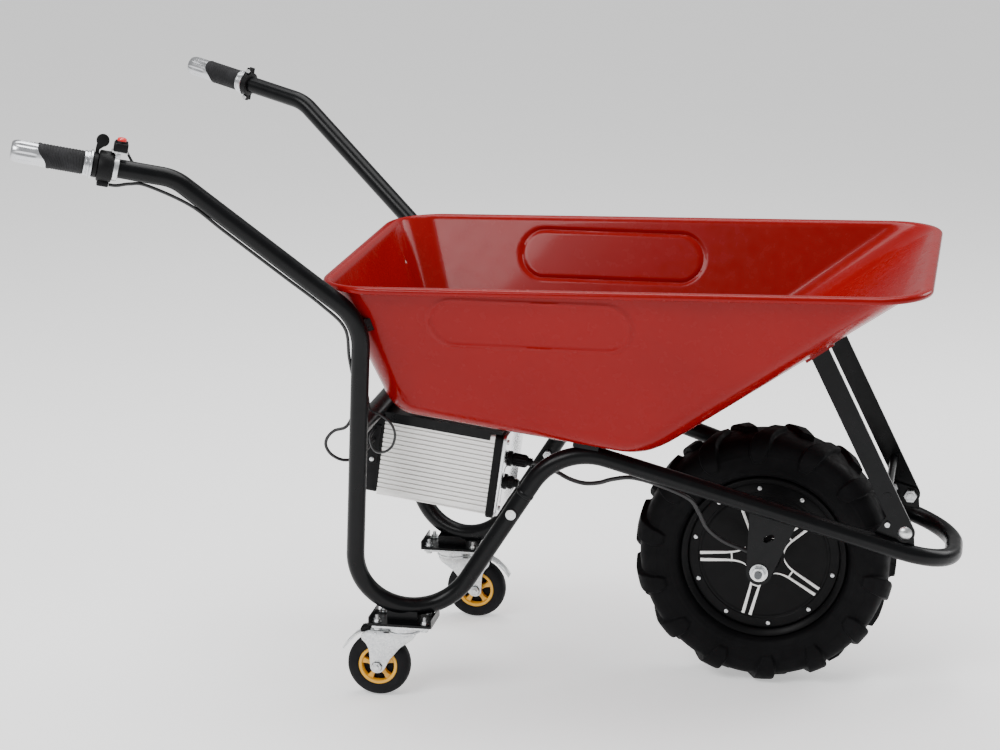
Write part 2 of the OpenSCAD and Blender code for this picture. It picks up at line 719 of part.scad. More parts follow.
plate_x = battery_rear + case_l + front_frame_t + 0.1;
module battery_front_plate() color("#cfd1d3") placed() under_floor() difference() {
    translate([plate_x, -case_w / 2, -battery_top - case_h])
        cube([front_plate_t, case_w, case_h - 2]);
    for (c = CONNECTORS) translate([plate_x - 1, c[0], c[1]])
        rotate([0, 90, 0]) cylinder(h = front_plate_t + 2, d = gland_d + 2 * slack);
}

// Y and Z of the connectors under the floor, and how far each reaches out
gland_d = 16;
CONNECTORS = [[-40, -84, 36], [-62, -116, 22]];
module power_connectors() color("#141416") placed() under_floor()
    for (c = CONNECTORS) translate([plate_x, c[0], c[1]]) rotate([0, 90, 0]) {
        translate([0, 0, -4]) cylinder(h = front_plate_t + 8, d = gland_d);
        translate([0, 0, front_plate_t + 0.1]) hex_prism(22, 6);
        translate([0, 0, front_plate_t + 6]) cylinder(h = c[2] - 12, d = 18);
        translate([0, 0, front_plate_t + c[2] - 6]) cylinder(h = 6, d = 12);
    }

cell_gap = 6;
module battery_cells() color("#2c5d8f") placed() under_floor() {
    w = case_w - 2 * case_wall - 2 * cell_gap;
    h = 70;
    translate([battery_rear + 6, -w / 2, -battery_top - case_h + case_wall + 0.1])
        cube([case_l - 20, w, h]);
}
module controller_board() color("#2a6b3c") placed() under_floor() {
    w = case_w - 2 * case_wall - 0.2;
    translate([battery_rear + 10, -w / 2, -battery_top - 40])
        cube([case_l - 40, w, 2]);
    for (i = [0 : 3]) translate([battery_rear + 30 + 30 * i, -20, -battery_top - 38])
        cylinder(h = 18, d = 14);
}

// A plate under the cross tube that runs forward to the rest bar
spine_w = 60;
module battery_mount() color("#26272a") placed() under_floor() {
    translate([-14, -case_w / 2 - 3.1, -mount_drop - mount_t])
        cube([case_l + 32, case_w + 6.2, mount_t]);
    for (s = SIDES)
        translate([battery_rear + 0.1, s * (case_w / 2 + 1.6) - 1.5, -mount_drop - 16])
            cube([case_l - battery_rear, 3, 16]);
    translate([case_l, -spine_w / 2, -mount_drop - mount_t])
        cube([rest_x + rest_w / 2 - case_l, spine_w, mount_t]);
    translate([rest_x - rest_w / 2, -spine_w / 2, -mount_drop])
        cube([rest_w, spine_w, mount_drop - rest_t - 0.1]);
}

// Screws at the corners of the front plate
module battery_screws() color("#9fa1a3") placed() under_floor()
    for (s = SIDES, z = [12, case_h - 14])
        translate([plate_x + front_plate_t + 0.05, s * (case_w / 2 - 12),
            -battery_top - case_h + z]) rotate([0, 90, 0]) cylinder(h = 3, d = 8);

// ---- Hand controls ----

// Children along a handle: Z from its end towards the tray, Y up
module on_handle(side, along) {
    a = mirrored(handle_end, side);
    w = unit(mirrored(upper_bend, side) - a);
    u = unit(cross([0, 0, 1], w));
    turned_to(a + w * along, u, cross(w, u), w) children();
}

grip_cap_l = 50;        // silver end of a grip, from the tube's end
grip_start = 41;
ring_l = 13;
ring_at = grip_start + grip_l + 0.1;
lever_at = ring_at + ring_l + 0.4;
lever_t = 7;
housing_at = lever_at + lever_t + 0.4;
housing_l = 22;
clamp_at = housing_at + housing_l + 0.1;
clamp_l = 8;
switch_plate_rear = 6; // the switch plate reaches back over the throttle
sleeve_d = tube_d + 2 * slack;

module grip_ends() color("#b7babd") placed() for (side = SIDES) on_handle(side, 0)
    difference() {
        union() {
            translate([0, 0, -grip_cap_reach])
                cylinder(h = 4, d1 = grip_cap_d, d2 = grip_cap_d + 4);
            translate([0, 0, -2]) cylinder(h = grip_start + 1.9, d = grip_d - 3);
        }
        translate([0, 0, 0]) cylinder(h = 90, d = sleeve_d);
        translate([0, 0, -8]) cylinder(h = 20, d = 14);
        for (i = [0 : 7]) rotate(45 * i) translate([grip_d / 2, 0, 8])
            cylinder(h = 22, d = 6);
    }

module grip_rubbers() color("#1b1c1e") placed() for (side = SIDES)
    on_handle(side, grip_start) difference() {
        cylinder(h = grip_l, d = grip_d);
        translate([0, 0, -1]) cylinder(h = grip_l + 2, d = sleeve_d);
        for (i = [1 : 9]) translate([0, 0, i * grip_l / 10 - 1]) ring(grip_d + 2, grip_d - 2, 2);
    }

module grip_rings() color("#c2c4c6") placed() for (side = SIDES)
    on_handle(side, ring_at) difference() {
        union() {
            cylinder(h = ring_l, d = 38);
            translate([0, 0, ring_l - 4]) cylinder(h = 4, d = 43);
        }
        translate([0, 0, -1]) cylinder(h = ring_l + 2, d = sleeve_d);
    }

module throttle_housing() color("#191a1c") placed() on_handle(RIGHT, housing_at)
    difference() {
        union() {
            cylinder(h = housing_l, d = 46);
            translate([-12, -30, 2]) cube([24, 20, housing_l - 4]);
        }
        translate([0, 0, -1]) cylinder(h = housing_l + 2, d = sleeve_d);
        translate([0, -26, -1]) cylinder(h = housing_l + 2, d = throttle_cable_d + 0.2);
    }

module throttle_lever() color("#151618") placed() on_handle(RIGHT, lever_at) {
    difference() {
        union() {
            cylinder(h = lever_t, d = 38);
            translate([-2.5, 15, 0.6]) cube([5, 18, lever_t - 1.2]);
            translate([-2.5, 37, 9]) rotate([0, 90, 0]) cylinder(h = 5, d = 19);
        }
        translate([0, 0, -1]) cylinder(h = lever_t + 2, d = tube_d + 0.6);
    }
}

module handle_clamps() color("#aeb1b4") placed() {
    on_handle(RIGHT, clamp_at) difference() {
        union() {
            cylinder(h = clamp_l, d = 38);
            translate([-11, 8, 0]) cube([22, 16, clamp_l]);
            translate([-11, switch_base - 2.7, -switch_plate_rear]) cube([22, 2.6, 24]);
        }
        translate([0, 0, -1]) cylinder(h = clamp_l + 2, d = sleeve_d);
    }
    on_handle(LEFT, lever_at) difference() {
        union() {
            cylinder(h = 10, d = 40);
            for (s = SIDES) translate([-6, s * 22 - 6, 0]) cube([12, 12, 10]);
        }
        translate([0, 0, -1]) cylinder(h = 12, d = sleeve_d);
        translate([-1, -40, -1]) cube([2, 80, 12]);
    }
}

switch_base = 26.2;     // underside of the switch above the handle's axis
switch_h = 15;
switch_l = 21;
button_d = 14;
button_at = 6.5;
module switch_housing() color("#18191b") placed() on_handle(RIGHT, clamp_at)
    difference() {
        translate([-12, switch_base, -4]) cube([24, switch_h, switch_l]);
        translate([0, switch_base + 3, button_at]) rotate([-90, 0, 0])
            cylinder(h = 40, d = button_d + 0.6);
    }

module power_button() color("#d01818") placed() on_handle(RIGHT, clamp_at)
    translate([0, switch_base + 6.5, button_at]) rotate([-90, 0, 0])
        cylinder(h = 14, d = button_d);

// ---- Casters ----

kingpin_x = -546;
kingpin_y = 196;
top_plate_h = 118;      // underside of a caster's fixed plate
top_plate_t = 4;
saddle_t = 4;
caster_plate_l = 96;
caster_plate_w = 66;
bolt_x = 38;
bolt_y = 24;
kingpin_d = 12;
race_h = 8;
fork_t = 4;
fork_gap = 1;           // between the wheel and each fork cheek
swivel_r = 28;

module per_caster() for (side = SIDES)
    translate([kingpin_x, side * kingpin_y, 0]) children();

module bolt_places() for (x = [-bolt_x, bolt_x], y = [-bolt_y, bolt_y])
    translate([x, y, 0]) children();

module caster_saddles() color("#1d1e20") placed() for (side = SIDES) difference() {
    translate([kingpin_x, side * kingpin_y, top_plate_h + top_plate_t + 0.05]) {
        translate([-caster_plate_l / 2, -caster_plate_w / 2, 0])
            cube([caster_plate_l, caster_plate_w, saddle_t]);
        for (s = SIDES) translate([s * (caster_plate_l / 2 + 1) - 1,
            -caster_plate_w / 2, 0]) cube([2, caster_plate_w, 14]);
        translate([-24, -14, saddle_t]) cube([48, 28, 40]);
    }
    swept(handle_path(side), weld_r, tube_sides);
    saddle_trim(side);
    translate([kingpin_x, side * kingpin_y, top_plate_h]) bolt_places()
        cylinder(h = 12, d = 6.4);
}

// Removes what stands above the middle of the tube from a saddle
module saddle_trim(side) translate([kingpin_x - 30, side * kingpin_y - 30, saddle_top])
    cube([60, 60, 40]);
foot_half = acos(unit(lower_bend - foot_corner) * unit(arch_corner - foot_corner)) / 2;
foot_centre = foot_corner + foot_bend_r / sin(foot_half)
    * unit(unit(lower_bend - foot_corner) + unit(arch_corner - foot_corner));
foot_low = foot_centre[2] - foot_bend_r;
saddle_top = foot_low - 4;

module caster_top_plates() color("#c6c8ca") placed() per_caster() difference() {
    union() {
        translate([-caster_plate_l / 2 + 3, -caster_plate_w / 2 + 3, top_plate_h])
            cube([caster_plate_l - 6, caster_plate_w - 6, top_plate_t]);
        translate([0, 0, top_plate_h - race_h]) cylinder(h = race_h, r = swivel_r - 2);
    }
    translate([0, 0, top_plate_h - race_h - 1]) cylinder(h = 30, d = kingpin_d + 0.2);
    translate([0, 0, top_plate_h]) bolt_places()
        translate([0, 0, -1]) cylinder(h = 12, d = 6.4);
}

module caster_bolts() color("#c9c9c6") placed() per_caster()
    translate([0, 0, top_plate_h]) bolt_places() {
        translate([0, 0, -4.1]) hex_prism(10, 4);
        translate([0, 0, -0.2]) cylinder(h = 20, d = 6);
        translate([0, 0, top_plate_t + saddle_t + 0.15]) hex_prism(10, 5);
    }

module kingpins() color("#a6a8aa") placed() per_caster() {
    bottom = top_plate_h - race_h - seat_gap - fork_t;
    translate([0, 0, bottom]) cylinder(h = top_plate_h + top_plate_t - bottom, d = kingpin_d);
    translate([0, 0, bottom - 4 - seat_gap]) cylinder(h = 4 + seat_gap, d = 15);
}

// One caster's own frame: X towards its wheel, which trails behind or ahead
function caster_turn(side) = side == RIGHT ? 180 : 0;
module on_caster(side) placed()
    translate([kingpin_x, side * kingpin_y, 0]) rotate(caster_turn(side)) children();

cheek_y = caster_w / 2 + fork_gap;
module caster_fork(side) color("#cdcfd1") on_caster(side) difference() {
    top = top_plate_h - race_h - seat_gap;
    union() {
        translate([0, 0, top - fork_t]) cylinder(h = fork_t, r = swivel_r);
        translate([0, -cheek_y - fork_t, top - fork_t])
            cube([caster_trail - 4, 2 * (cheek_y + fork_t), fork_t]);
        for (s = SIDES) translate([0, s * (cheek_y + fork_t / 2) + fork_t / 2, 0])
            rotate([90, 0, 0]) linear_extrude(fork_t) {
                polygon([[-22, top], [caster_trail + 12, top],
                    [caster_trail + 24, top - 8], [caster_trail + 18, top - 20],
                    [caster_trail + 12, top - 32],
                    [caster_trail + 11, caster_d / 2 - 2],
                    [caster_trail - 11, caster_d / 2 - 4], [-22, top - 14]]);
                translate([caster_trail, caster_d / 2]) circle(r = 11.5);
            }
    }
    translate([0, 0, top - 20]) cylinder(h = 40, d = kingpin_d + 2 * running);
    across(caster_trail, caster_d / 2, -60, 60, caster_axle_d + 0.1);
    across(pedal_x, pedal_z, -60, 60, pedal_pin_d + 2 * running);
}
module caster_fork_right() caster_fork(RIGHT);
module caster_fork_left() caster_fork(LEFT);

module caster_axle(side) color("#bfc1c3") on_caster(side) {
    reach = cheek_y + fork_t;
    across(caster_trail, caster_d / 2, -reach - 8, reach + 1, caster_axle_d);
    translate([caster_trail, reach + 0.05, caster_d / 2]) rotate([-90, 0, 0])
        hex_prism(15, 5);
    translate([caster_trail, -reach - 0.05, caster_d / 2]) rotate([90, 0, 0])
        hex_prism(15, 6);
}
module caster_axle_right() caster_axle(RIGHT);
module caster_axle_left() caster_axle(LEFT);

hub_r = 31;
module caster_hub(side) color("#f0a51e") on_caster(side)
    translate([caster_trail, 0, caster_d / 2]) rotate([90, 0, 0]) difference() {
        union() {
            translate([0, 0, -caster_w / 2 + 2]) ring(2 * hub_r, 2 * hub_r - 12, caster_w - 4);
            translate([0, 0, -3]) cylinder(h = 6, r = hub_r - 2);
            translate([0, 0, -caster_w / 2 - 0.6]) cylinder(h = caster_w + 1.2, d = 20);
        }
        translate([0, 0, -40]) cylinder(h = 80, d = caster_axle_d + 2 * running);
        for (i = [0 : 4]) rotate(72 * i) translate([17.5, 0, -40]) cylinder(h = 80, d = 9);
    }
module caster_hub_right() caster_hub(RIGHT);
module caster_hub_left() caster_hub(LEFT);

module caster_tyre(side) color("#2a2b2e") on_caster(side)
    translate([caster_trail, 0, caster_d / 2]) rotate([90, 0, 0]) rotate_extrude() {
        half = caster_w / 2;
        r = caster_d / 2;
        polygon([[hub_r + 0.05, -half + 2], [r - 7, -half], [r - 2, -half + 4],
            [r, -half + 9], [r, half - 9], [r - 2, half - 4], [r - 7, half],
            [hub_r + 0.05, half - 2]]);
    }
module caster_tyre_right() caster_tyre(RIGHT);
module caster_tyre_left() caster_tyre(LEFT);

// A brake pedal on a pin over the wheel: a bent strip with a pad on top and a
// shoe below that stays clear of the tyre until the pedal is pressed
pedal_pin_d = 6;
pedal_w = 20;
pedal_x = caster_trail + 2;
pedal_z = caster_d / 2 + 54;
module brake_pedal(side) color("#26272a") on_caster(side) {
    across(pedal_x, pedal_z, -cheek_y - fork_t - 1, cheek_y + fork_t + 1, pedal_pin_d);
    translate([caster_trail, pedal_w / 2, caster_d / 2]) rotate([90, 0, 0])
        linear_extrude(pedal_w) {
            polygon([[-3, 51.5], [-3, 57.5], [10, 58.5], [24, 56], [38, 48], [50, 36],
                [58, 24], [56, 22], [47.5, 33.5], [36, 45.3], [23, 53], [19, 51.5],
                [18, 49.5], [10, 51.6], [5, 51.6]]);
            polygon([[11, 56], [25, 53], [27, 59], [13, 63]]);
        }
}
module brake_pedal_right() brake_pedal(RIGHT);
module brake_pedal_left() brake_pedal(LEFT);

// ---- Cables, each through round points measured from the axle ----

motor_cable_d = 7;
motor_route = [[-372.2, -40, 344.8], [-350, -48, 343], [-325, -76, 342],
    [-300, -96, 337], [-276, -104, 334], [-252, -110, 338], [-230, -118, 347],
    [-196, -128, 354], [-150, -126, 342], [-110, -118, 322], [-96, -104, 296],
    [-84, -92, 268], [-58, -86, 246], [-26, -80, 232], [-6, -78, 222], [0, -78, 216]];
throttle_cable_d = 5;
throttle_route = [[-933.2, -407, 839.2], [-922, -403.2, 837.7], [-904.3, -397.1, 839.5],
    [-880.8, -389, 836.3], [-822.9, -367.9, 805.5], [-777.4, -349.5, 764.8],
    [-701.5, -318.9, 697], [-645.8, -296.5, 647.3], [-614.4, -279.5, 609],
    [-611.2, -267.3, 561], [-608.7, -250.5, 520], [-605, -240, 484], [-618, -232, 455],
    [-628, -231, 441], [-645, -231, 435], [-657, -230, 422], [-659, -228, 408],
    [-650, -225, 394], [-634, -214, 384], [-618, -180, 380], [-614, -140, 384],
    [-614, -112, 386.5], [-614, -92.4, 386.5]];
switch_cable_d = 4;
switch_route = [[-918.6, -388.9, 893.3], [-913.6, -379.2, 884.5], [-903.2, -377.2, 866],
    [-883, -371.8, 853.5], [-819, -347.8, 818.9], [-773.5, -329.4, 778.2],
    [-697.6, -298.8, 710.4], [-647, -278.4, 660], [-612.7, -267.6, 610.2],
    [-605.7, -255.6, 565], [-597, -246, 535], [-592, -231, 492], [-588, -231, 472],
    [-572, -230, 463], [-557, -228, 450], [-551, -226, 432], [-557, -222, 412],
    [-573, -212, 399], [-592, -192, 396], [-608, -150, 402], [-612, -112, 403.4],
    [-612, -92.4, 403.4]];

module cord(route, d, sides, steps) color("#121214") placed()
    swept(through(route, steps), d / 2, sides);
module motor_cable() cord(motor_route, motor_cable_d, 10, 2);
module throttle_cable() cord(throttle_route, throttle_cable_d, 8, 2);
module switch_cable() cord(switch_route, switch_cable_d, 8, 2);

handle_tube_right();
handle_tube_left();
front_frame();
frame_bolts();
rear_cross_tube();
tray_rest_bar();
corner_lugs();
axle_plates();
pivot_lugs();
pivot_bolts();
wheel_axle();
axle_nuts();
motor_stator();
battery_case();
battery_rear_cap();
battery_front_frame();
battery_front_plate();
battery_cells();
controller_board();
power_connectors();
battery_mount();
battery_screws();
throttle_housing();
handle_clamps();
switch_housing();
grip_ends();
grip_rubbers();
grip_rings();
caster_saddles();
caster_top_plates();
caster_bolts();
kingpins();
motor_cable();
throttle_cable();
switch_cable();
tray();
tray_bracket();
tip_arm_right();
tip_arm_left();
arm_cross_rod();
hub_shell();
motor_cover_right();
motor_cover_left();
spoke_trim();
cover_screws();
rotor_magnets();
hub_bearings();
drive_tyre();
throttle_lever();
power_button();
caster_fork_right();
caster_fork_left();
caster_axle_right();
caster_axle_left();
caster_hub_right();
caster_hub_left();
caster_tyre_right();
caster_tyre_left();
brake_pedal_right();
brake_pedal_left();
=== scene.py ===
"""Looks for the powered wheelbarrow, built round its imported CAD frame.

Shapes are made in millimetres from the drive axle (X forward, Y left, Z up from
the ground) and moved into the row frame in metres when each mesh is made.
"""
import json
import math

import bmesh
import bpy
import numpy as np
from mathutils import Matrix, Vector


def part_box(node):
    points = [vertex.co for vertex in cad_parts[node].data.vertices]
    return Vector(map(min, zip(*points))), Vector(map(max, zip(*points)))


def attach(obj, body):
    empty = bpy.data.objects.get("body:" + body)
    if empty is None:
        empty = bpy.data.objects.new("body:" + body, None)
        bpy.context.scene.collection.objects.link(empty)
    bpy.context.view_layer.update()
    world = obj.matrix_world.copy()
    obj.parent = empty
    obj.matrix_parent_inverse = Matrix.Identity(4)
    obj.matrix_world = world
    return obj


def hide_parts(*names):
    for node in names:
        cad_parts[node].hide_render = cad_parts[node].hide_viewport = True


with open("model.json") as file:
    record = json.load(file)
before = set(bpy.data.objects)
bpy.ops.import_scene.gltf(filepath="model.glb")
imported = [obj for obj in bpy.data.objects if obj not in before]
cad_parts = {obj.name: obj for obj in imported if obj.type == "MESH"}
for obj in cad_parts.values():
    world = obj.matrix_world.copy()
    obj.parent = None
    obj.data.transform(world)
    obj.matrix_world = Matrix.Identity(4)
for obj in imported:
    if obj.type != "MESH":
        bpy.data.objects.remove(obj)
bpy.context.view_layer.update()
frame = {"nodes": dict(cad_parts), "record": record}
MM = 0.001
TAU = 2 * math.pi
RIGHT, LEFT = -1, 1
SIDES = (RIGHT, LEFT)


def middle(node):
    low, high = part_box(node)
    return (low + high) / 2


AXLE = middle("wheel_axle")
AXLE_X, AXLE_H = AXLE.x / MM, AXLE.z / MM

# ---------------------------------------------------------------- camera

CAMERA_SPOT = (0.3505, -4.2054, 1.5646)     # from the point under the drive axle
CAMERA_AZIMUTH, CAMERA_ELEVATION = math.radians(10.51), math.radians(14.29)
CAMERA_LENS = 99.65


def make_camera():
    a, e = CAMERA_AZIMUTH, CAMERA_ELEVATION
    forward = Vector((-math.sin(a) * math.cos(e), math.cos(a) * math.cos(e), -math.sin(e)))
    right = Vector((math.cos(a), math.sin(a), 0))
    up = right.cross(forward)
    data = bpy.data.cameras.new("camera")
    data.lens, data.sensor_width, data.clip_end = CAMERA_LENS, 36, 50
    camera = bpy.data.objects.new("camera", data)
    bpy.context.scene.collection.objects.link(camera)
    turned = Matrix((right, up, -forward)).transposed().to_4x4()
    turned.translation = Vector(CAMERA_SPOT) + Vector((AXLE.x, 0, 0))
    camera.matrix_world = turned
    bpy.context.scene.camera = camera


make_camera()

# ---------------------------------------------------------------- materials


class Nodes:
    """A short way to make a material's nodes and links."""

    def __init__(self, name):
        self.material = bpy.data.materials.new(name)
        self.material.use_nodes = True
        self.tree = self.material.node_tree
        self.shader = self.tree.nodes["Principled BSDF"]
        self.place = self.tree.nodes.new("ShaderNodeTexCoord").outputs["Object"]

    def put(self, kind, inputs=None, **settings):
        node = self.tree.nodes.new(kind)
        for key, value in settings.items():
            setattr(node, key, value)
        for key, value in (inputs or {}).items():
            if isinstance(value, bpy.types.NodeSocket):
                self.tree.links.new(value, node.inputs[key])
            else:
                node.inputs[key].default_value = value
        return node

    def stretched(self, scale):
        return self.put("ShaderNodeMapping", {"Vector": self.place, "Scale": scale}).outputs[0]

    def noise(self, scale, detail=3, stretch=None):
        vector = self.stretched(stretch) if stretch else self.place
        return self.put("ShaderNodeTexNoise",
                        {"Vector": vector, "Scale": scale, "Detail": detail}).outputs["Fac"]

    def ranged(self, value, low, high, start=0.3, end=0.7):
        return self.put("ShaderNodeMapRange", {
            "Value": value, "From Min": start, "From Max": end,
            "To Min": low, "To Max": high}).outputs["Result"]

    def mixed(self, factor, first, second):
        node = self.put("ShaderNodeMix", {"Factor": factor}, data_type="RGBA")
        for key, colour in ((6, first), (7, second)):
            if isinstance(colour, bpy.types.NodeSocket):
                self.tree.links.new(colour, node.inputs[key])
            else:
                node.inputs[key].default_value = (*colour, 1)
        return node.outputs[2]

    def to_shader(self, key, value):
        if isinstance(value, bpy.types.NodeSocket):
            self.tree.links.new(value, self.shader.inputs[key])
        else:
            self.shader.inputs[key].default_value = value

    def bumped(self, height, strength, depth):
        bump = self.put("ShaderNodeBump", {
            "Height": height, "Strength": strength, "Distance": depth})
        self.to_shader("Normal", bump.outputs["Normal"])


def darker(colour, share):
    return tuple(c * share for c in colour)


def finish_material(name, colour, rough, spread=0.06, metal=0.0, coat=0.0, coat_rough=0.04,
                    mottle=0.12, mottle_scale=14, grain=400, grain_strength=0.15,
                    grain_depth=0.0004, stretch=None, dust=None, dust_amount=0.0,
                    specular=0.5):
    """One finish: its colour varies softly, its roughness varies, and it has a grain.
    dust is a colour that settles in patches, over dust_amount of the surface."""
    n = Nodes(name)
    broad = n.noise(mottle_scale, 4)
    base = n.mixed(n.ranged(broad, 0, 1), darker(colour, 1 - mottle), darker(colour, 1 + mottle))
    if dust:
        patches = n.ranged(n.noise(mottle_scale * 3, 6), 0, dust_amount, 0.45, 0.75)
        base = n.mixed(patches, base, dust)
    n.to_shader("Base Color", base)
    worn = n.noise(mottle_scale * 5, 5, stretch)
    n.to_shader("Roughness", n.ranged(worn, rough - spread, rough + spread))
    n.to_shader("Metallic", metal)
    n.to_shader("Coat Weight", coat)
    n.to_shader("Coat Roughness", coat_rough)
    n.to_shader("Specular IOR Level", specular)
    n.bumped(n.noise(grain, 2, stretch), grain_strength, grain_depth)
    return n.material


def zinc_material():
    """Bright zinc plate: faint crystals, a warm tint in places, and small scratches."""
    n = Nodes("zinc")
    crystals = n.put("ShaderNodeTexVoronoi", {"Vector": n.place, "Scale": 420}).outputs["Color"]
    grey = n.put("ShaderNodeSeparateColor", {"Color": crystals}).outputs[0]
    cool = n.mixed(n.ranged(grey, 0, 1, 0, 1), (0.56, 0.58, 0.60), (0.74, 0.75, 0.75))
    warm = n.ranged(n.noise(35, 4), 0, 0.35, 0.5, 0.8)
    n.to_shader("Base Color", n.mixed(warm, cool, (0.66, 0.62, 0.50)))
    n.to_shader("Metallic", 1.0)
    n.to_shader("Roughness", n.ranged(n.noise(120, 5), 0.24, 0.42))
    n.bumped(n.noise(260, 3, (1, 6, 1)), 0.12, 0.0003)
    return n.material


def tray_material():
    """Red gloss enamel over pressed steel, with a light orange peel and a little dust."""
    n = Nodes("tray_red")
    broad = n.ranged(n.noise(5, 3), 0, 1)
    base = n.mixed(broad, (0.205, 0.0007, 0.0009), (0.235, 0.0009, 0.0012))
    n.to_shader("Base Color", n.mixed(n.ranged(n.noise(30, 6), 0, 0.05, 0.5, 0.8),
                                      base, (0.29, 0.008, 0.008)))
    n.to_shader("Roughness", n.ranged(n.noise(60, 5), 0.20, 0.30))
    n.to_shader("Specular IOR Level", 0.12)
    n.to_shader("Coat Weight", 0.14)
    n.to_shader("Coat Roughness", 0.05)
    n.bumped(n.noise(300, 2), 0.05, 0.0004)
    return n.material


def tyre_material(name, colour):
    """Moulded rubber: a fine grain, and slightly grey in scuffed or dusty patches."""
    n = Nodes(name)
    scuff = n.ranged(n.noise(45, 8), 0, 0.5, 0.5, 0.8)
    base = n.mixed(n.ranged(n.noise(12, 3), 0, 1), darker(colour, 0.8), darker(colour, 1.2))
    n.to_shader("Base Color", n.mixed(scuff, base, darker(colour, 2.2)))
    n.to_shader("Roughness", n.ranged(n.noise(90, 6), 0.50, 0.72))
    n.to_shader("Specular IOR Level", 0.08)
    n.bumped(n.noise(700, 3), 0.25, 0.0005)
    return n.material


BRUSHED = (1, 1, 24)
FINISHES = {
    "frame_paint": finish_material("frame_paint", (0.0025, 0.0027, 0.0032), 0.32, coat=0.08,
                                   coat_rough=0.14, grain=500, grain_strength=0.08,
                                   specular=0.12, dust=(0.008, 0.008, 0.009), dust_amount=0.2),
    "zinc": zinc_material(),
    "axle_steel": finish_material("axle_steel", (0.10, 0.105, 0.11), 0.38, metal=1.0,
                                  grain=900, stretch=BRUSHED),
    "copper": finish_material("copper", (0.45, 0.18, 0.08), 0.35, metal=1.0, grain=600),
    "magnet": finish_material("magnet", (0.45, 0.46, 0.48), 0.3, metal=1.0),
    "alu_case": finish_material("alu_case", (0.80, 0.79, 0.77), 0.36, metal=0.85,
                                mottle=0.05, grain=700, stretch=BRUSHED,
                                grain_strength=0.12),
    "alu_plate": finish_material("alu_plate", (0.82, 0.83, 0.84), 0.22, metal=1.0,
                                 mottle=0.05, grain=500, stretch=BRUSHED),
    "black_plastic": finish_material("black_plastic", (0.004, 0.004, 0.0044), 0.46, specular=0.14,
                                     grain=900, grain_strength=0.25, grain_depth=0.0003,
                                     dust=(0.012, 0.012, 0.013), dust_amount=0.3),
    "cell_wrap": finish_material("cell_wrap", (0.04, 0.12, 0.30), 0.3, coat=0.3),
    "board": finish_material("board", (0.02, 0.14, 0.05), 0.4, mottle_scale=60),
    "grip_rubber": finish_material("grip_rubber", (0.010, 0.010, 0.011), 0.66, grain=900,
                                   grain_strength=0.35, specular=0.2,
                                   dust=(0.05, 0.05, 0.055), dust_amount=0.3),
    "grip_silver": finish_material("grip_silver", (0.62, 0.63, 0.65), 0.26, metal=1.0,
                                   mottle=0.06, grain=500, grain_strength=0.05),
    "red_button": finish_material("red_button", (0.75, 0.015, 0.018), 0.22, coat=0.5,
                                  mottle=0.05, grain=300, grain_strength=0.03),
    "tray_red": tray_material(),
    "hub_black": finish_material("hub_black", (0.003, 0.003, 0.0033), 0.44, coat=0.02,
                                 coat_rough=0.25, grain=600, specular=0.09,
                                 dust=(0.006, 0.006, 0.007), dust_amount=0.3),
    "spoke_white": finish_material("spoke_white", (0.86, 0.86, 0.84), 0.30, metal=0.35,
                                   mottle=0.04, grain=700, stretch=BRUSHED),
    "tyre": tyre_material("tyre", (0.0035, 0.0035, 0.0040)),
    "caster_yellow": finish_material("caster_yellow", (0.80, 0.40, 0.02), 0.34, coat=0.2,
                                     mottle=0.08, grain=500, dust=(0.50, 0.24, 0.03),
                                     dust_amount=0.35),
    "caster_rubber": tyre_material("caster_rubber", (0.010, 0.010, 0.011)),
    "cable": finish_material("cable", (0.008, 0.008, 0.009), 0.42, grain=600,
                             grain_strength=0.1),
}


def dress_cad_nodes():
    for part in frame["record"]["subparts"]:
        materials = frame["nodes"][part["node"]].data.materials
        finish = FINISHES[part["material_slot"]]
        if len(materials) == 0:
            materials.append(finish)
        for i in range(len(materials)):
            materials[i] = finish


dress_cad_nodes()

# ---------------------------------------------------------------- mesh making

NODE_BODY = {n: b for b, ns in frame["record"]["behaviour"]["bodies"].items() for n in ns}


def to_row(points):
    """Millimetres from the axle into metres in the row frame."""
    points = np.asarray(points, float).reshape(-1, 3)
    return (points + np.array([AXLE_X, 0, 0])) * MM


def publish(name, bm, finish, stands_for=(), body=None, sharp=40):
    """Finishes a bmesh into a piece that rides with the node it stands for."""
    bmesh.ops.remove_doubles(bm, verts=bm.verts, dist=2e-6)
    bmesh.ops.dissolve_degenerate(bm, edges=bm.edges, dist=1e-6)
    bmesh.ops.recalc_face_normals(bm, faces=bm.faces)
    mesh = bpy.data.meshes.new(name)
    bm.to_mesh(mesh)
    bm.free()
    for polygon in mesh.polygons:
        polygon.use_smooth = True
    mesh.set_sharp_from_angle(angle=math.radians(sharp))
    piece = bpy.data.objects.new(name, mesh)
    bpy.context.scene.collection.objects.link(piece)
    mesh.materials.append(FINISHES[finish])
    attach(piece, body or NODE_BODY[stands_for[0]])
    if stands_for:
        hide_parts(*stands_for)
    return piece


def add_mesh(bm, points, faces):
    verts = [bm.verts.new(p) for p in to_row(points)]
    for face in faces:
        try:
            bm.faces.new([verts[i] for i in face])
        except ValueError:
            continue


def add_skin(bm, rings, loop=False, caps=True, closed=True):
    """Faces between rings of equally many points. loop joins the last ring to the first."""
    rings = [np.asarray(r, float) for r in rings]
    n, count = len(rings[0]), len(rings)
    points = np.concatenate(rings)
    faces = []
    for i in range(count if loop else count - 1):
        a, b = i * n, ((i + 1) % count) * n
        for k in range(n if closed else n - 1):
            m = (k + 1) % n
            faces.append((a + k, a + m, b + m, b + k))
    if caps and not loop:
        faces.append(tuple(range(n - 1, -1, -1)))
        faces.append(tuple((count - 1) * n + k for k in range(n)))
    add_mesh(bm, points, faces)


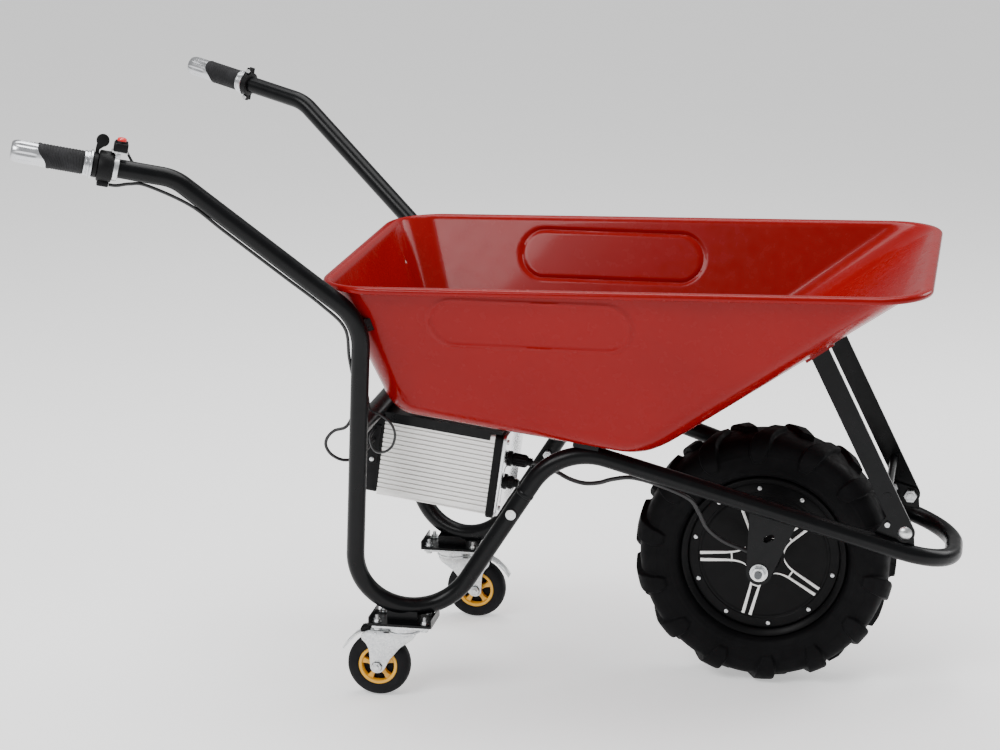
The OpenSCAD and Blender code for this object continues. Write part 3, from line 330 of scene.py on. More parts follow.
def frames_along(path):
    """Two side vectors, carried along without twist, at each point of a path."""
    path = np.asarray(path, float)
    ahead = np.gradient(path, axis=0)
    ahead /= np.linalg.norm(ahead, axis=1)[:, None]
    side = np.cross(ahead[0], [0.31, 0.17, 0.93])
    sides = []
    for t in ahead:
        side = side - (side @ t) * t
        side = side / np.linalg.norm(side)
        sides.append(side)
    sides = np.array(sides)
    return sides, np.cross(ahead, sides)


def add_tube(bm, path, radius, steps=28):
    """A round tube; radius is one number, or one for each point of the path."""
    path = np.asarray(path, float)
    u, v = frames_along(path)
    radii = np.broadcast_to(np.asarray(radius, float), (len(path),))
    angles = np.linspace(0, TAU, steps, endpoint=False)
    rings = [p + r * (np.cos(angles)[:, None] * a + np.sin(angles)[:, None] * b)
             for p, r, a, b in zip(path, radii, u, v)]
    add_skin(bm, rings)


def turned(profile, steps, origin, axis, start):
    """Rings of a profile of (radius, offset along axis) turned about an axis."""
    origin, axis, start = (np.asarray(x, float) for x in (origin, axis, start))
    axis = axis / np.linalg.norm(axis)
    start = start - (start @ axis) * axis
    start /= np.linalg.norm(start)
    across = np.cross(axis, start)
    profile = np.asarray(profile, float)
    rings = []
    for a in np.linspace(0, TAU, steps, endpoint=False):
        spoke = math.cos(a) * start + math.sin(a) * across
        rings.append(origin + profile[:, :1] * spoke + profile[:, 1:] * axis)
    return rings


def add_turned(bm, profile, steps, origin, axis=(0, 1, 0), start=(1, 0, 0.01)):
    """A solid of revolution. A profile that starts and ends on the axis is closed there."""
    closed = profile[0][0] > 0.01
    add_skin(bm, turned(profile, steps, origin, axis, start), loop=True, closed=closed)


def there_and_back(half, middle=()):
    """A profile that mirrors about offset zero, from its first half."""
    return half + list(middle) + [(r, -y) for r, y in half[::-1]]


def softened(outline, radius, steps=3):
    """A closed outline with each corner cut round by up to radius."""
    outline = np.asarray(outline, float)
    out = []
    n = len(outline)
    for i in range(n):
        p, q, s = outline[i - 1], outline[i], outline[(i + 1) % n]
        reach = min(radius, np.linalg.norm(p - q) * 0.45, np.linalg.norm(s - q) * 0.45)
        a = q + (p - q) / np.linalg.norm(p - q) * reach
        b = q + (s - q) / np.linalg.norm(s - q) * reach
        for t in np.linspace(0, 1, steps + 1):
            out.append((1 - t) ** 2 * a + 2 * t * (1 - t) * q + t ** 2 * b)
    return np.array(out)


def inset(outline, amount):
    """A closed outline moved inwards along the middle of its corners."""
    outline = np.asarray(outline, float)
    before = outline - np.roll(outline, 1, axis=0)
    after = np.roll(outline, -1, axis=0) - outline
    before /= np.maximum(np.linalg.norm(before, axis=1), 1e-9)[:, None]
    after /= np.maximum(np.linalg.norm(after, axis=1), 1e-9)[:, None]
    along = before + after
    along /= np.maximum(np.linalg.norm(along, axis=1), 1e-9)[:, None]
    area = 0.5 * np.sum(outline[:, 0] * np.roll(outline[:, 1], -1)
                        - np.roll(outline[:, 0], -1) * outline[:, 1])
    normal = np.stack([-along[:, 1], along[:, 0]], axis=1) * np.sign(area)
    return outline + normal * amount


def add_plate(bm, outline, low, high, place, edge=0.8):
    """A plate with softened edges. place maps (u, v, height) to millimetres from the axle."""
    rings = []
    for amount, height in ((edge, low), (edge * 0.3, low + edge * 0.3), (0, low + edge),
                           (0, high - edge), (edge * 0.3, high - edge * 0.3), (edge, high)):
        flat = inset(outline, amount)
        rings.append(place(np.column_stack([flat, np.full(len(flat), height)])))
    add_skin(bm, rings)


def add_block(bm, low, high, place, edge=1.2, corner=2.0):
    """A box with rounded corners and softened edges, given by two corners."""
    outline = softened([(low[0], low[1]), (high[0], low[1]), (high[0], high[1]),
                        (low[0], high[1])], corner)
    add_plate(bm, outline, low[2], high[2], place, edge)


def round_outline(radius, steps=48, centre=(0, 0), start=0.0):
    a = np.linspace(0, TAU, steps, endpoint=False) + start
    return np.column_stack([centre[0] + radius * np.cos(a), centre[1] + radius * np.sin(a)])


def hexagon(across_flats):
    return round_outline(across_flats / 2 / math.cos(math.pi / 6), 6)


def oriented(origin, u, v, w):
    """A place function for shapes drawn in (u, v, height) at an origin."""
    basis = np.array([u, v, w], float)
    origin = np.asarray(origin, float)
    return lambda points: origin + np.asarray(points, float) @ basis


# ---------------------------------------------------------------- frame tubes

TUBE_R = 14.0
HANDLE_END = np.array([-1058, 450, 893.0])
UPPER_BEND = np.array([-843, 376, 846.0])
LOWER_BEND = np.array([-590, 274, 620.0])
FOOT_CORNER = np.array([-636, 193, -103.0])
ARCH_CORNER = np.array([-307, 165, 413.5])
NOSE_CORNER = np.array([295, 98, 229.0])
UPPER_R, LOWER_R, FOOT_R, ARCH_R, NOSE_R = 70, 90, 94, 100, 90
JOINT_H, JOINT_LAP = 302, 32


def mirrored(point, side):
    return np.asarray(point, float) * np.array([1, side, 1])


def unit(v):
    v = np.asarray(v, float)
    return v / np.linalg.norm(v)


def bent(corners, radii, pitch=4.0):
    """Points along straight runs joined by round bends."""
    path = [np.asarray(corners[0], float)]
    for p, q, s, r in zip(corners, corners[1:], corners[2:], radii):
        a, c = unit(p - q), unit(s - q)
        half = math.acos(a @ c) / 2
        centre = q + unit(a + c) * r / math.sin(half)
        spoke = unit(q + a * r / math.tan(half) - centre)
        sweep = math.pi - 2 * half
        steps = max(6, int(sweep * r / pitch))
        for i in range(steps + 1):
            t = sweep * i / steps
            path.append(centre + r * (spoke * math.cos(t) - a * math.sin(t)))
    path.append(np.asarray(corners[-1], float))
    return np.array(path)


def make_frame_tubes():
    rise = unit(ARCH_CORNER - FOOT_CORNER)
    joint = FOOT_CORNER + (ARCH_CORNER - FOOT_CORNER) * (
        (JOINT_H - FOOT_CORNER[2]) / (ARCH_CORNER[2] - FOOT_CORNER[2]))
    joint_end = joint + rise * JOINT_LAP
    for side, node in ((RIGHT, "handle_tube_right"), (LEFT, "handle_tube_left")):
        bm = bmesh.new()
        corners = [mirrored(p, side) for p in
                   (HANDLE_END, UPPER_BEND, LOWER_BEND, FOOT_CORNER, joint_end)]
        add_tube(bm, bent(corners, (UPPER_R, LOWER_R, FOOT_R)), TUBE_R, 36)
        publish(node.replace("handle", "bent"), bm, "frame_paint", (node,))
    start = joint_end + rise * 0.3
    half = [start, ARCH_CORNER, NOSE_CORNER]
    corners = [mirrored(p, RIGHT) for p in half] + [mirrored(p, LEFT) for p in half[::-1]]
    bm = bmesh.new()
    add_tube(bm, bent(corners, (ARCH_R, NOSE_R, NOSE_R, ARCH_R)), TUBE_R, 36)
    # A swaged collar marks the joint on each side
    for side in SIDES:
        spots = [mirrored(start + rise * d, side) for d in (0, 1.5, 5, 6.5)]
        add_tube(bm, spots, [TUBE_R, TUBE_R + 0.7, TUBE_R + 0.7, TUBE_R], 36)
    publish("front_loop", bm, "frame_paint", ("front_frame",))


make_frame_tubes()

# ---------------------------------------------------------------- tray

FLOOR_TILT = math.radians(7.7)
CROSS_H = 446
CROSS_X = FOOT_CORNER[0] + (LOWER_BEND - FOOT_CORNER)[0] * (
    (CROSS_H - FOOT_CORNER[2]) / (LOWER_BEND - FOOT_CORNER)[2])
FLOOR_START = np.array([CROSS_X, 0, CROSS_H]) + (TUBE_R + 0.3) * np.array(
    [math.sin(FLOOR_TILT), 0, math.cos(FLOOR_TILT)])


def under_floor(points):
    """From along, across and above the tray's floor to millimetres from the axle."""
    p = np.asarray(points, float)
    c, s = math.cos(FLOOR_TILT), math.sin(FLOOR_TILT)
    return FLOOR_START + np.stack(
        [p[..., 0] * c + p[..., 2] * s, p[..., 1], -p[..., 0] * s + p[..., 2] * c], axis=-1)


RIM_REAR_X, RIM_REAR_H, RIM_FRONT_H = -661, 672, 690
TRAY_L, TRAY_W, SHEET, FLANGE = 913, 594, 2.0, 14
FLOOR_L, FLOOR_W, FLOOR_REAR_X, SOLE_RISE = 412, 380, -568, 13
RIM_REAR_R, RIM_FRONT_R, MOUTH_REAR_R = 95, 85, 55
FLOOR_R, FLOOR_REAR_R = 60, 40
RIM_TILT = math.atan((RIM_FRONT_H - RIM_REAR_H) / TRAY_L)
TRAY_HOLE_HALF, TRAY_HOLE_H, TRAY_HOLE_R = 190, 612, 4.5
BEAD_RIGHT, BEAD_LEFT = (-337, 620), (-288, 620)    # middles of the side walls' beads
BEAD_HALF, BEAD_R, BEAD_RISE, BEAD_SPREAD = 152, 38, 2.6, 5.0


def on_rim(points):
    """From along, across and above the rim to millimetres from the axle."""
    p = np.asarray(points, float)
    c, s = math.cos(RIM_TILT), math.sin(RIM_TILT)
    return np.array([RIM_REAR_X, 0, RIM_REAR_H]) + np.stack(
        [p[..., 0] * c - p[..., 2] * s, p[..., 1], p[..., 0] * s + p[..., 2] * c], axis=-1)


SIDE_STEPS, END_STEPS, CORNER_STEPS, WALL_STEPS = 170, 70, 18, 84
WALL_FROM, WALL_TO = 0.06, 0.965        # shares of the wall between floor bend and rim bend
ROLL_R = 3.5                            # the rim's edge rolls down on this radius


def rounded_plan(x0, x1, width, rear_r, front_r, height=0.0):
    """A rounded rectangle whose points match those of every other plan."""
    h = width / 2
    corners = [(x0 + rear_r, -h + rear_r, rear_r, 180), (x1 - front_r, -h + front_r, front_r, 270),
               (x1 - front_r, h - front_r, front_r, 0), (x0 + rear_r, h - rear_r, rear_r, 90)]
    runs = [SIDE_STEPS, END_STEPS, SIDE_STEPS, END_STEPS]
    arcs = []
    for cx, cy, r, start in corners:
        t = np.radians(start + np.linspace(0, 90, CORNER_STEPS))
        arcs.append(np.column_stack([cx + r * np.cos(t), cy + r * np.sin(t)]))
    points = []
    for i, arc in enumerate(arcs):
        points.append(arc)
        a, b = arc[-1], arcs[(i + 1) % 4][0]
        t = np.linspace(0, 1, runs[i] + 1)[1:-1, None]
        points.append(a + (b - a) * t)
    flat = np.concatenate(points)
    return np.column_stack([flat, np.full(len(flat), height)])


def smooth_step(x):
    x = np.clip(x, 0, 1)
    return x * x * (3 - 2 * x)


def stadium_distance(x, z, centre, half_length, radius):
    """Distance to the outline of a stadium lying along x."""
    dx = np.maximum(np.abs(x - centre[0]) - (half_length - radius), 0)
    return np.abs(np.hypot(dx, z - centre[1]) - radius)


def make_tray():
    """A pressed shell: floor, walls and rim as rings, given thickness at the end."""
    x0 = (FLOOR_REAR_X - FLOOR_START[0]) / math.cos(FLOOR_TILT)

    def floor_ring(shrink, height):
        return under_floor(rounded_plan(
            x0 + shrink, x0 + FLOOR_L - shrink, FLOOR_W - 2 * shrink,
            max(FLOOR_REAR_R - shrink, 1), max(FLOOR_R - shrink, 1), height))

    sole = under_floor(rounded_plan(x0 - 6, x0 + FLOOR_L + 10, FLOOR_W + 12,
                                    FLOOR_REAR_R, FLOOR_R, SOLE_RISE))
    mouth = on_rim(rounded_plan(FLANGE, TRAY_L - FLANGE, TRAY_W - 2 * FLANGE,
                                MOUTH_REAR_R, RIM_FRONT_R - FLANGE))

    rings = [floor_ring(s, 0) for s in (150, 110, 75, 50, 34)]
    first, last = floor_ring(22, 0), sole + (mouth - sole) * WALL_FROM
    bend = floor_ring(3, 0)
    for t in np.linspace(0, 1, 9):
        rings.append((1 - t) ** 2 * first + 2 * t * (1 - t) * bend + t ** 2 * last)
    wall_start = len(rings)
    for t in np.linspace(WALL_FROM, WALL_TO, WALL_STEPS)[1:]:
        rings.append(sole + (mouth - sole) * t)

    # The walls turn out into the flange, and its edge rolls down
    def rim_ring(out, height):
        return on_rim(rounded_plan(FLANGE - out, TRAY_L - FLANGE + out,
                                   TRAY_W - 2 * FLANGE + 2 * out,
                                   MOUTH_REAR_R + out * (RIM_REAR_R - MOUTH_REAR_R) / FLANGE,
                                   RIM_FRONT_R - FLANGE + out, height))

    top = sole + (mouth - sole) * WALL_TO
    for t in np.linspace(0, 1, 6)[1:]:
        edge = rim_ring(4, 0)
        rings.append((1 - t) ** 2 * top + 2 * t * (1 - t) * mouth + t ** 2 * edge)
    rings += [rim_ring(7, 0), rim_ring(FLANGE - ROLL_R, 0)]
    for a in np.linspace(0, 150, 8)[1:]:
        t = math.radians(a)
        rings.append(rim_ring(FLANGE - ROLL_R + ROLL_R * math.sin(t),
                              ROLL_R * math.cos(t) - ROLL_R))

    # A plain raised bead in the shape of a stadium on both side walls
    grid = np.array(rings)
    x, z = grid[..., 0], grid[..., 2]
    flat_side = np.abs(grid[..., 1]) > 0.42 * FLOOR_W
    away = np.where(grid[..., 1] < 0, stadium_distance(x, z, BEAD_RIGHT, BEAD_HALF, BEAD_R),
                    stadium_distance(x, z, BEAD_LEFT, BEAD_HALF, BEAD_R))
    bead = BEAD_RISE * smooth_step(1 - away / BEAD_SPREAD)
    on_wall = np.zeros(len(rings), bool)
    on_wall[wall_start:wall_start + WALL_STEPS - 1] = True
    grid[..., 1] += np.sign(grid[..., 1]) * bead * flat_side * on_wall[:, None]

    bm = bmesh.new()
    add_skin(bm, list(grid), caps=False)
    centre = under_floor(np.array([[x0 + FLOOR_L / 2, 0, 0.0]]))
    hub_vert = bm.verts.new(to_row(centre)[0])
    bm.verts.ensure_lookup_table()
    n = grid.shape[1]
    for k in range(n):
        bm.faces.new((hub_vert, bm.verts[(k + 1) % n], bm.verts[k]))
    for side in SIDES:
        cut_hole(bm, side)
    bmesh.ops.recalc_face_normals(bm, faces=bm.faces)
    tray = publish("pressed_tray", bm, "tray_red", ("tray",), sharp=50)
    thicken(tray, SHEET)


def cut_hole(bm, side):
    """Opens a round hole in the rear wall, bored square to it."""
    rear = (FLOOR_REAR_X - FLOOR_START[0]) / math.cos(FLOOR_TILT)
    foot = under_floor([rear - 6, 0, SOLE_RISE])
    lean = unit(on_rim([FLANGE, 0, 0]) - foot)
    spot = foot + lean * (TRAY_HOLE_H - foot[2]) / lean[2] + [0, side * TRAY_HOLE_HALF, 0]
    centre, up = Vector(to_row(spot)[0]), Vector(lean)
    out = Vector((-lean[2], 0, lean[0]))
    radius = TRAY_HOLE_R * MM

    def flat(point):
        away = point - centre
        return Vector((away.dot(up), away.y)), abs(away.dot(out))

    def near(point, reach):
        seen, off = flat(point)
        return seen.length < reach * radius and off < 10 * MM

    edges = {e for f in bm.faces if near(f.calc_center_median(), 3) for e in f.edges}
    bmesh.ops.subdivide_edges(bm, edges=list(edges), cuts=3, use_grid_fill=True)
    gone = [f for f in bm.faces if near(f.calc_center_median(), 1.0)]
    bmesh.ops.delete(bm, geom=gone, context="FACES")
    for vert in bm.verts:
        if vert.is_boundary and near(vert.co, 2):
            seen, _ = flat(vert.co)
            move = seen * (radius / seen.length - 1)
            vert.co += up * move.x + Vector((0, move.y, 0))


def thicken(piece, sheet):
    """Gives a shell its sheet's thickness, towards its inside."""
    lowest = min(piece.data.polygons, key=lambda p: p.center.z)
    solid = piece.modifiers.new("sheet", "SOLIDIFY")
    solid.thickness = sheet * MM
    solid.offset = -1 if lowest.normal.z < 0 else 1
    apply_modifiers(piece)


def apply_modifiers(piece):
    graph = bpy.context.evaluated_depsgraph_get()
    mesh = bpy.data.meshes.new_from_object(piece.evaluated_get(graph))
    piece.modifiers.clear()
    piece.data = mesh


make_tray()

# ---------------------------------------------------------------- drive wheel

LUGS, LUG_HEIGHT = 14, 8.5
TREAD_R = 200                   # where distances round the tread are measured
WHEEL = np.array([0, 0, AXLE_H])
TYRE_SECTION = [(126, 30.5), (131.5, 31.5), (134, 37), (138, 43.5), (150, 48.5), (165, 50.5),
                (178, 49.5), (188, 45), (194, 37), (197, 26), (198.2, 13), (198.5, 0)]


def section_points(control, count):
    """A smooth open section through control points of (radius, offset)."""
    control = np.array(control + [(r, -y) for r, y in control[-2::-1]], float)
    d = np.concatenate([[0], np.cumsum(np.linalg.norm(np.diff(control, axis=0), axis=1))])
    m = np.gradient(control, d, axis=0)
    t = np.linspace(0, d[-1], count)
    i = np.clip(np.searchsorted(d, t) - 1, 0, len(d) - 2)
    h = (d[i + 1] - d[i])[:, None]
    s = ((t - d[i]) / (d[i + 1] - d[i]))[:, None]
    a, b = control[i], control[i + 1]
    return ((2 * s ** 3 - 3 * s ** 2 + 1) * a + (s ** 3 - 2 * s ** 2 + s) * h * m[i]
            + (3 * s ** 2 - 2 * s ** 3) * b + (s ** 3 - s ** 2) * h * m[i + 1]), t - d[-1] / 2


def lug_heights(angle, across):
    """Height of the tread at each angle and each distance across from the crown."""
    height = np.zeros((len(angle), len(across)))
    edge = 3.2
    for side in SIDES:
        b = side * across
        slant = np.interp(b, [-10, 40, 60, 90], [-20, 6, 12, 14])
        width = np.interp(b, [-10, 20, 45, 66, 82], [22, 25, 33, 30, 14])
        rise = np.interp(b, [-10, 40, 58, 78], [LUG_HEIGHT, LUG_HEIGHT, 8.0, 4.0])
        span = smooth_step((b + 9) / edge) * smooth_step((80 - b) / 5)
        pitch = TAU / LUGS
        turn = angle[:, None] - (pitch / 2 if side == LEFT else 0) - slant[None, :] / TREAD_R
        off = np.abs((turn + pitch / 2) % pitch - pitch / 2) * TREAD_R
        across_lug = smooth_step((width[None, :] / 2 - off) / edge + 0.5)
        height = np.maximum(height, across_lug * (span * rise)[None, :])
    return height


def make_tyre():
    section, across = section_points(TYRE_SECTION, 110)
    along = np.gradient(section, axis=0)
    normal = np.column_stack([along[:, 1], -along[:, 0]])
    normal /= np.linalg.norm(normal, axis=1)[:, None]
    if normal[len(normal) // 2][0] < 0:
        normal = -normal
    steps = LUGS * 60
    angles = np.linspace(0, TAU, steps, endpoint=False)
    height = lug_heights(angles, across)
    # Two fine ribs round each sidewall
    for r, y in ((146, 1), (170, 1)):
        rib = np.clip(1 - np.abs(section[:, 0] - r) / 1.6, 0, 1) * 0.7
        height = height + (rib * y)[None, :] * (height < 0.5)
    rings = []
    inner = [(128.5, -28), (127, -14), (127, 14), (128.5, 28)]
    for i, a in enumerate(angles):
        profile = np.concatenate([section + normal * height[i][:, None], inner])
        spoke = np.array([math.cos(a), 0, math.sin(a)])
        rings.append(WHEEL + profile[:, :1] * spoke + profile[:, 1:] * np.array([0, 1, 0]))
    bm = bmesh.new()
    add_skin(bm, rings, loop=True)
    publish("block_tyre", bm, "tyre", ("drive_tyre",), sharp=60)


RIM_D, RIM_W = 262, 76
COVER_Y, COVER_T, BOSS_Y = 28, 5, 40
SCREWS, SCREW_PCD, SPOKES = 10, 223, 5
SCREW_TURN, SPOKE_TURN = 0.63, 0.547        # where the first stands, in shares of a pitch


def make_hub():
    half, r = RIM_W / 2, RIM_D / 2
    bm = bmesh.new()
    lip = [(120.5, half - 6), (123, half - 3), (125.5, half - 2), (127.5, half - 0.3),
           (129.5, half), (r - 0.2, half - 1), (r, half - 2.6), (r - 1, half - 4.6),
           (r - 4, half - 6.2), (124.6, half - 7.6), (124, half - 10)]
    outside = there_and_back(lip, [(124, 0)])
    inside = there_and_back([(120.5, -COVER_Y + 2), (120.4, -23), (112.2, -23), (112, -21)])
    add_turned(bm, outside + inside, 160, WHEEL)
    publish("rim", bm, "hub_black", ("hub_shell",), sharp=35)
    for side, node in ((RIGHT, "motor_cover_right"), (LEFT, "motor_cover_left")):
        bm = bmesh.new()
        face = [(11, BOSS_Y - 1), (12, BOSS_Y), (22.5, BOSS_Y), (24.5, BOSS_Y - 1),
                (25.6, BOSS_Y - 4), (27, 31.5), (31, 29.4), (37, 28.6), (60, COVER_Y),
                (96, COVER_Y), (99, COVER_Y - 0.3), (100.5, COVER_Y - 1.4),
                (103.5, COVER_Y - 1.4), (105, COVER_Y - 0.2), (117, COVER_Y - 0.2),
                (119.2, COVER_Y - 0.8), (119.9, COVER_Y - 2.2), (119.9, COVER_Y - COVER_T),
                (26, COVER_Y - COVER_T), (26, COVER_Y - COVER_T - 2), (17.6, 21.2),
                (17.6, 36), (11, 36)]
        add_turned(bm, [(a, side * b) for a, b in face], 128, WHEEL)
        publish(node.replace("motor", "hub"), bm, "hub_black", (node,), sharp=35)


def wheel_face(side):
    """Places (u, v, height) on a cover, seen from outside, height outwards."""
    return oriented(WHEEL, (1, 0, 0), (0, 0, 1), (0, side, 0))


def add_stroke(bm, path, widths, low, high, place):
    """A raised line of varying width along a flat path, with softened edges."""
    path = np.asarray(path, float)
    ahead = np.gradient(path, axis=0)
    ahead /= np.linalg.norm(ahead, axis=1)[:, None]
    side = np.column_stack([-ahead[:, 1], ahead[:, 0]])
    rings = []
    for share, height in ((-1, low), (-1, high - 0.4), (-0.75, high), (0.75, high),
                          (1, high - 0.4), (1, low)):
        flat = path + side * (np.asarray(widths)[:, None] / 2 * share)
        rings.append(place(np.column_stack([flat, np.full(len(flat), height)])))
    stations = [np.array([ring[i] for ring in rings]) for i in range(len(path))]
    add_skin(bm, stations)


def spoke_turn(i):
    return TAU * (i + SPOKE_TURN) / SPOKES


def make_spokes():
    """Machined outlines: a curve from each spoke round to the next, and a bar across each."""
    bm = bmesh.new()
    sector = TAU / SPOKES
    for side in SIDES:
        place = wheel_face(side)
        low, high = COVER_Y - 0.6, COVER_Y + 1.2
        for i in range(SPOKES):
            first, second = spoke_turn(i), spoke_turn(i) + sector
            straight = []
            for turn, sign in ((first, 1), (second, -1)):
                along = np.array([math.cos(turn), math.sin(turn)])
                across = np.array([-math.sin(turn), math.cos(turn)]) * sign
                straight.append([along * r + across * w for r, w in
                                 ((101, 5.8), (85, 6.0), (70, 6.2), (58, 6.4), (51, 6.8))])
            turn = (first + second) / 2
            heart = np.array([math.cos(turn), math.sin(turn)])
            a, b = straight[0][-1], straight[1][-1]
            control = heart * 17
            curve = [(1 - t) ** 2 * a + 2 * t * (1 - t) * control + t ** 2 * b
                     for t in np.linspace(0, 1, 15)[1:-1]]
            path = np.array(straight[0] + curve + straight[1][::-1])
            n = len(path)
            ends = np.minimum(np.arange(n), np.arange(n)[::-1])
            widths = np.interp(ends, [0, 1, 4, 8], [5.0, 4.7, 3.4, 2.4])
            add_stroke(bm, path, widths, low, high, place)
            across = np.array([-math.sin(first), math.cos(first)])
            along = np.array([math.cos(first), math.sin(first)])
            bar = np.array([along * 51 + across * w for w in np.linspace(-6.5, 6.5, 5)])
            add_stroke(bm, bar, np.full(5, 2.6), low, high - 0.1, place)
    publish("spoke_outlines", bm, "spoke_white", ("spoke_trim",))
    bm = bmesh.new()
    for side in SIDES:
        for i in range(SCREWS):
            turn = TAU * (i + SCREW_TURN) / SCREWS
            spot = WHEEL + SCREW_PCD / 2 * np.array([math.cos(turn), 0, math.sin(turn)])
            head = [(0, COVER_Y + 1.2), (1.1, COVER_Y + 1.2), (1.3, COVER_Y + 2.4),
                    (2.2, COVER_Y + 2.4), (3.2, COVER_Y + 1.8), (3.5, COVER_Y + 0.8),
                    (3.5, COVER_Y - 0.6), (0, COVER_Y - 0.6)]
            add_turned(bm, [(a, side * b) for a, b in head], 16, spot)
    publish("cover_heads", bm, "zinc", ("cover_screws",))


make_tyre()
make_hub()
make_spokes()

# ---------------------------------------------------------------- battery box

CASE_L, CASE_W, CASE_H = 178, 180, 136
BATTERY_TOP, BATTERY_REAR = 32.5, 8
FRAME_T, PLATE_T, CAP_T = 12, 6, 26
CASE_BOTTOM = -BATTERY_TOP - CASE_H
RIBS, RIB_DEEP, RIB_WIDE = 15, 2.6, 2.4
CONNECTORS = ((-40, -84, 36), (-62, -116, 22))
PLATE_X = BATTERY_REAR + CASE_L + FRAME_T + 0.1


def along_floor(points):
    """Places (across, above, along) under the tray's floor."""
    p = np.asarray(points, float)
    return under_floor(np.stack([p[..., 2], p[..., 0], p[..., 1]], axis=-1))


def make_case():
    """An extrusion with rounded corners and deep grooves down both sides."""
    half, top = CASE_W / 2, -BATTERY_TOP
    right = []
    for i in range(RIBS):
        z = CASE_BOTTOM + 10 + (CASE_H - 24) / RIBS * (i + 0.5)
        right += [(half, z), (half - 0.5, z + 0.2), (half - RIB_DEEP, z + 0.5),
                  (half - RIB_DEEP, z + RIB_WIDE - 0.5), (half - 0.5, z + RIB_WIDE - 0.2),
                  (half, z + RIB_WIDE)]
    corner_low = [(half - 7 + 7 * math.sin(t), CASE_BOTTOM + 7 - 7 * math.cos(t))
                  for t in np.linspace(0, math.pi / 2, 7)]
    corner_high = [(half - 7 + 7 * math.cos(t), top - 7 + 7 * math.sin(t))
                   for t in np.linspace(0, math.pi / 2, 7)]
    one = corner_low + right + corner_high
    outline = np.array(one + [(-y, z) for y, z in one[::-1]])
    bm = bmesh.new()
    rings = []
    for x in (BATTERY_REAR, BATTERY_REAR + CASE_L / 2, BATTERY_REAR + CASE_L):
        rings.append(along_floor(np.column_stack([outline, np.full(len(outline), x)])))
    add_skin(bm, rings)
    publish("ribbed_case", bm, "alu_case", ("battery_case",), sharp=30)


def make_battery_ends():
    low = CASE_BOTTOM
    bm = bmesh.new()
    add_block(bm, (-CASE_W / 2 - 2, low + 4, BATTERY_REAR - CAP_T),
              (CASE_W / 2 + 2, -BATTERY_TOP - 2, BATTERY_REAR - 0.05), along_floor, 2.5, 9)
    for z in np.linspace(low + 22, -BATTERY_TOP - 20, 6):
        add_block(bm, (-CASE_W / 2 + 16, z, BATTERY_REAR - CAP_T - 1.4),
                  (CASE_W / 2 - 16, z + 5, BATTERY_REAR - CAP_T + 1), along_floor, 0.6, 2)
    # The carrying bracket with its screw
    add_block(bm, (-CASE_W / 2 + 4, low + 46, BATTERY_REAR - CAP_T - 12),
              (-CASE_W / 2 + 20, low + 120, BATTERY_REAR - CAP_T + 1), along_floor, 2, 4)
    add_block(bm, (-CASE_W / 2 - 5.5, low + 52, BATTERY_REAR - CAP_T - 8),
              (-CASE_W / 2 + 6, low + 118, BATTERY_REAR - 4), along_floor, 1.5, 3)
    publish("rear_cap", bm, "black_plastic", ("battery_rear_cap",))
    bm = bmesh.new()
    spot = along_floor([[-CASE_W / 2 - 5.5, low + 60, BATTERY_REAR - 13]])[0]
    add_turned(bm, [(0, -1.6), (1.4, -1.6), (1.7, -2.6), (3.4, -2.2), (4, -1), (4, 1), (0, 1)],
               20, spot)
    publish("cap_screw", bm, "zinc", body="frame")

    bm = bmesh.new()
    outer = softened([(-CASE_W / 2 - 4, low - 4), (CASE_W / 2 + 4, low - 4),
                      (CASE_W / 2 + 4, -BATTERY_TOP), (-CASE_W / 2 - 4, -BATTERY_TOP)], 10, 6)
    inner = softened([(-CASE_W / 2 + 8, low + 6), (CASE_W / 2 - 8, low + 6),
                      (CASE_W / 2 - 8, -BATTERY_TOP - 10), (-CASE_W / 2 + 8, -BATTERY_TOP - 10)],
                     6, 6)
    start = BATTERY_REAR + CASE_L + 0.05
    rings = []
    for flat, x in ((inner, start), (inset(outer, 1.5), start), (outer, start + 1.5),
                    (outer, start + FRAME_T - 1.5), (inset(outer, 1.5), start + FRAME_T),
                    (inner, start + FRAME_T)):
        rings.append(along_floor(np.column_stack([flat, np.full(len(flat), x)])))
    add_skin(bm, rings, loop=True)
    publish("front_surround", bm, "black_plastic", ("battery_front_frame",))

    bm = bmesh.new()
    add_block(bm, (-CASE_W / 2, low, PLATE_X), (CASE_W / 2, -BATTERY_TOP - 2, PLATE_X + PLATE_T),
              along_floor, 1.0, 8)
    add_block(bm, (-CASE_W / 2 + 20, low + 16, PLATE_X + 5),
              (CASE_W / 2 - 60, -BATTERY_TOP - 60, PLATE_X + PLATE_T + 1.2), along_floor, 0.8, 6)
    publish("front_plate", bm, "alu_plate", ("battery_front_plate",))


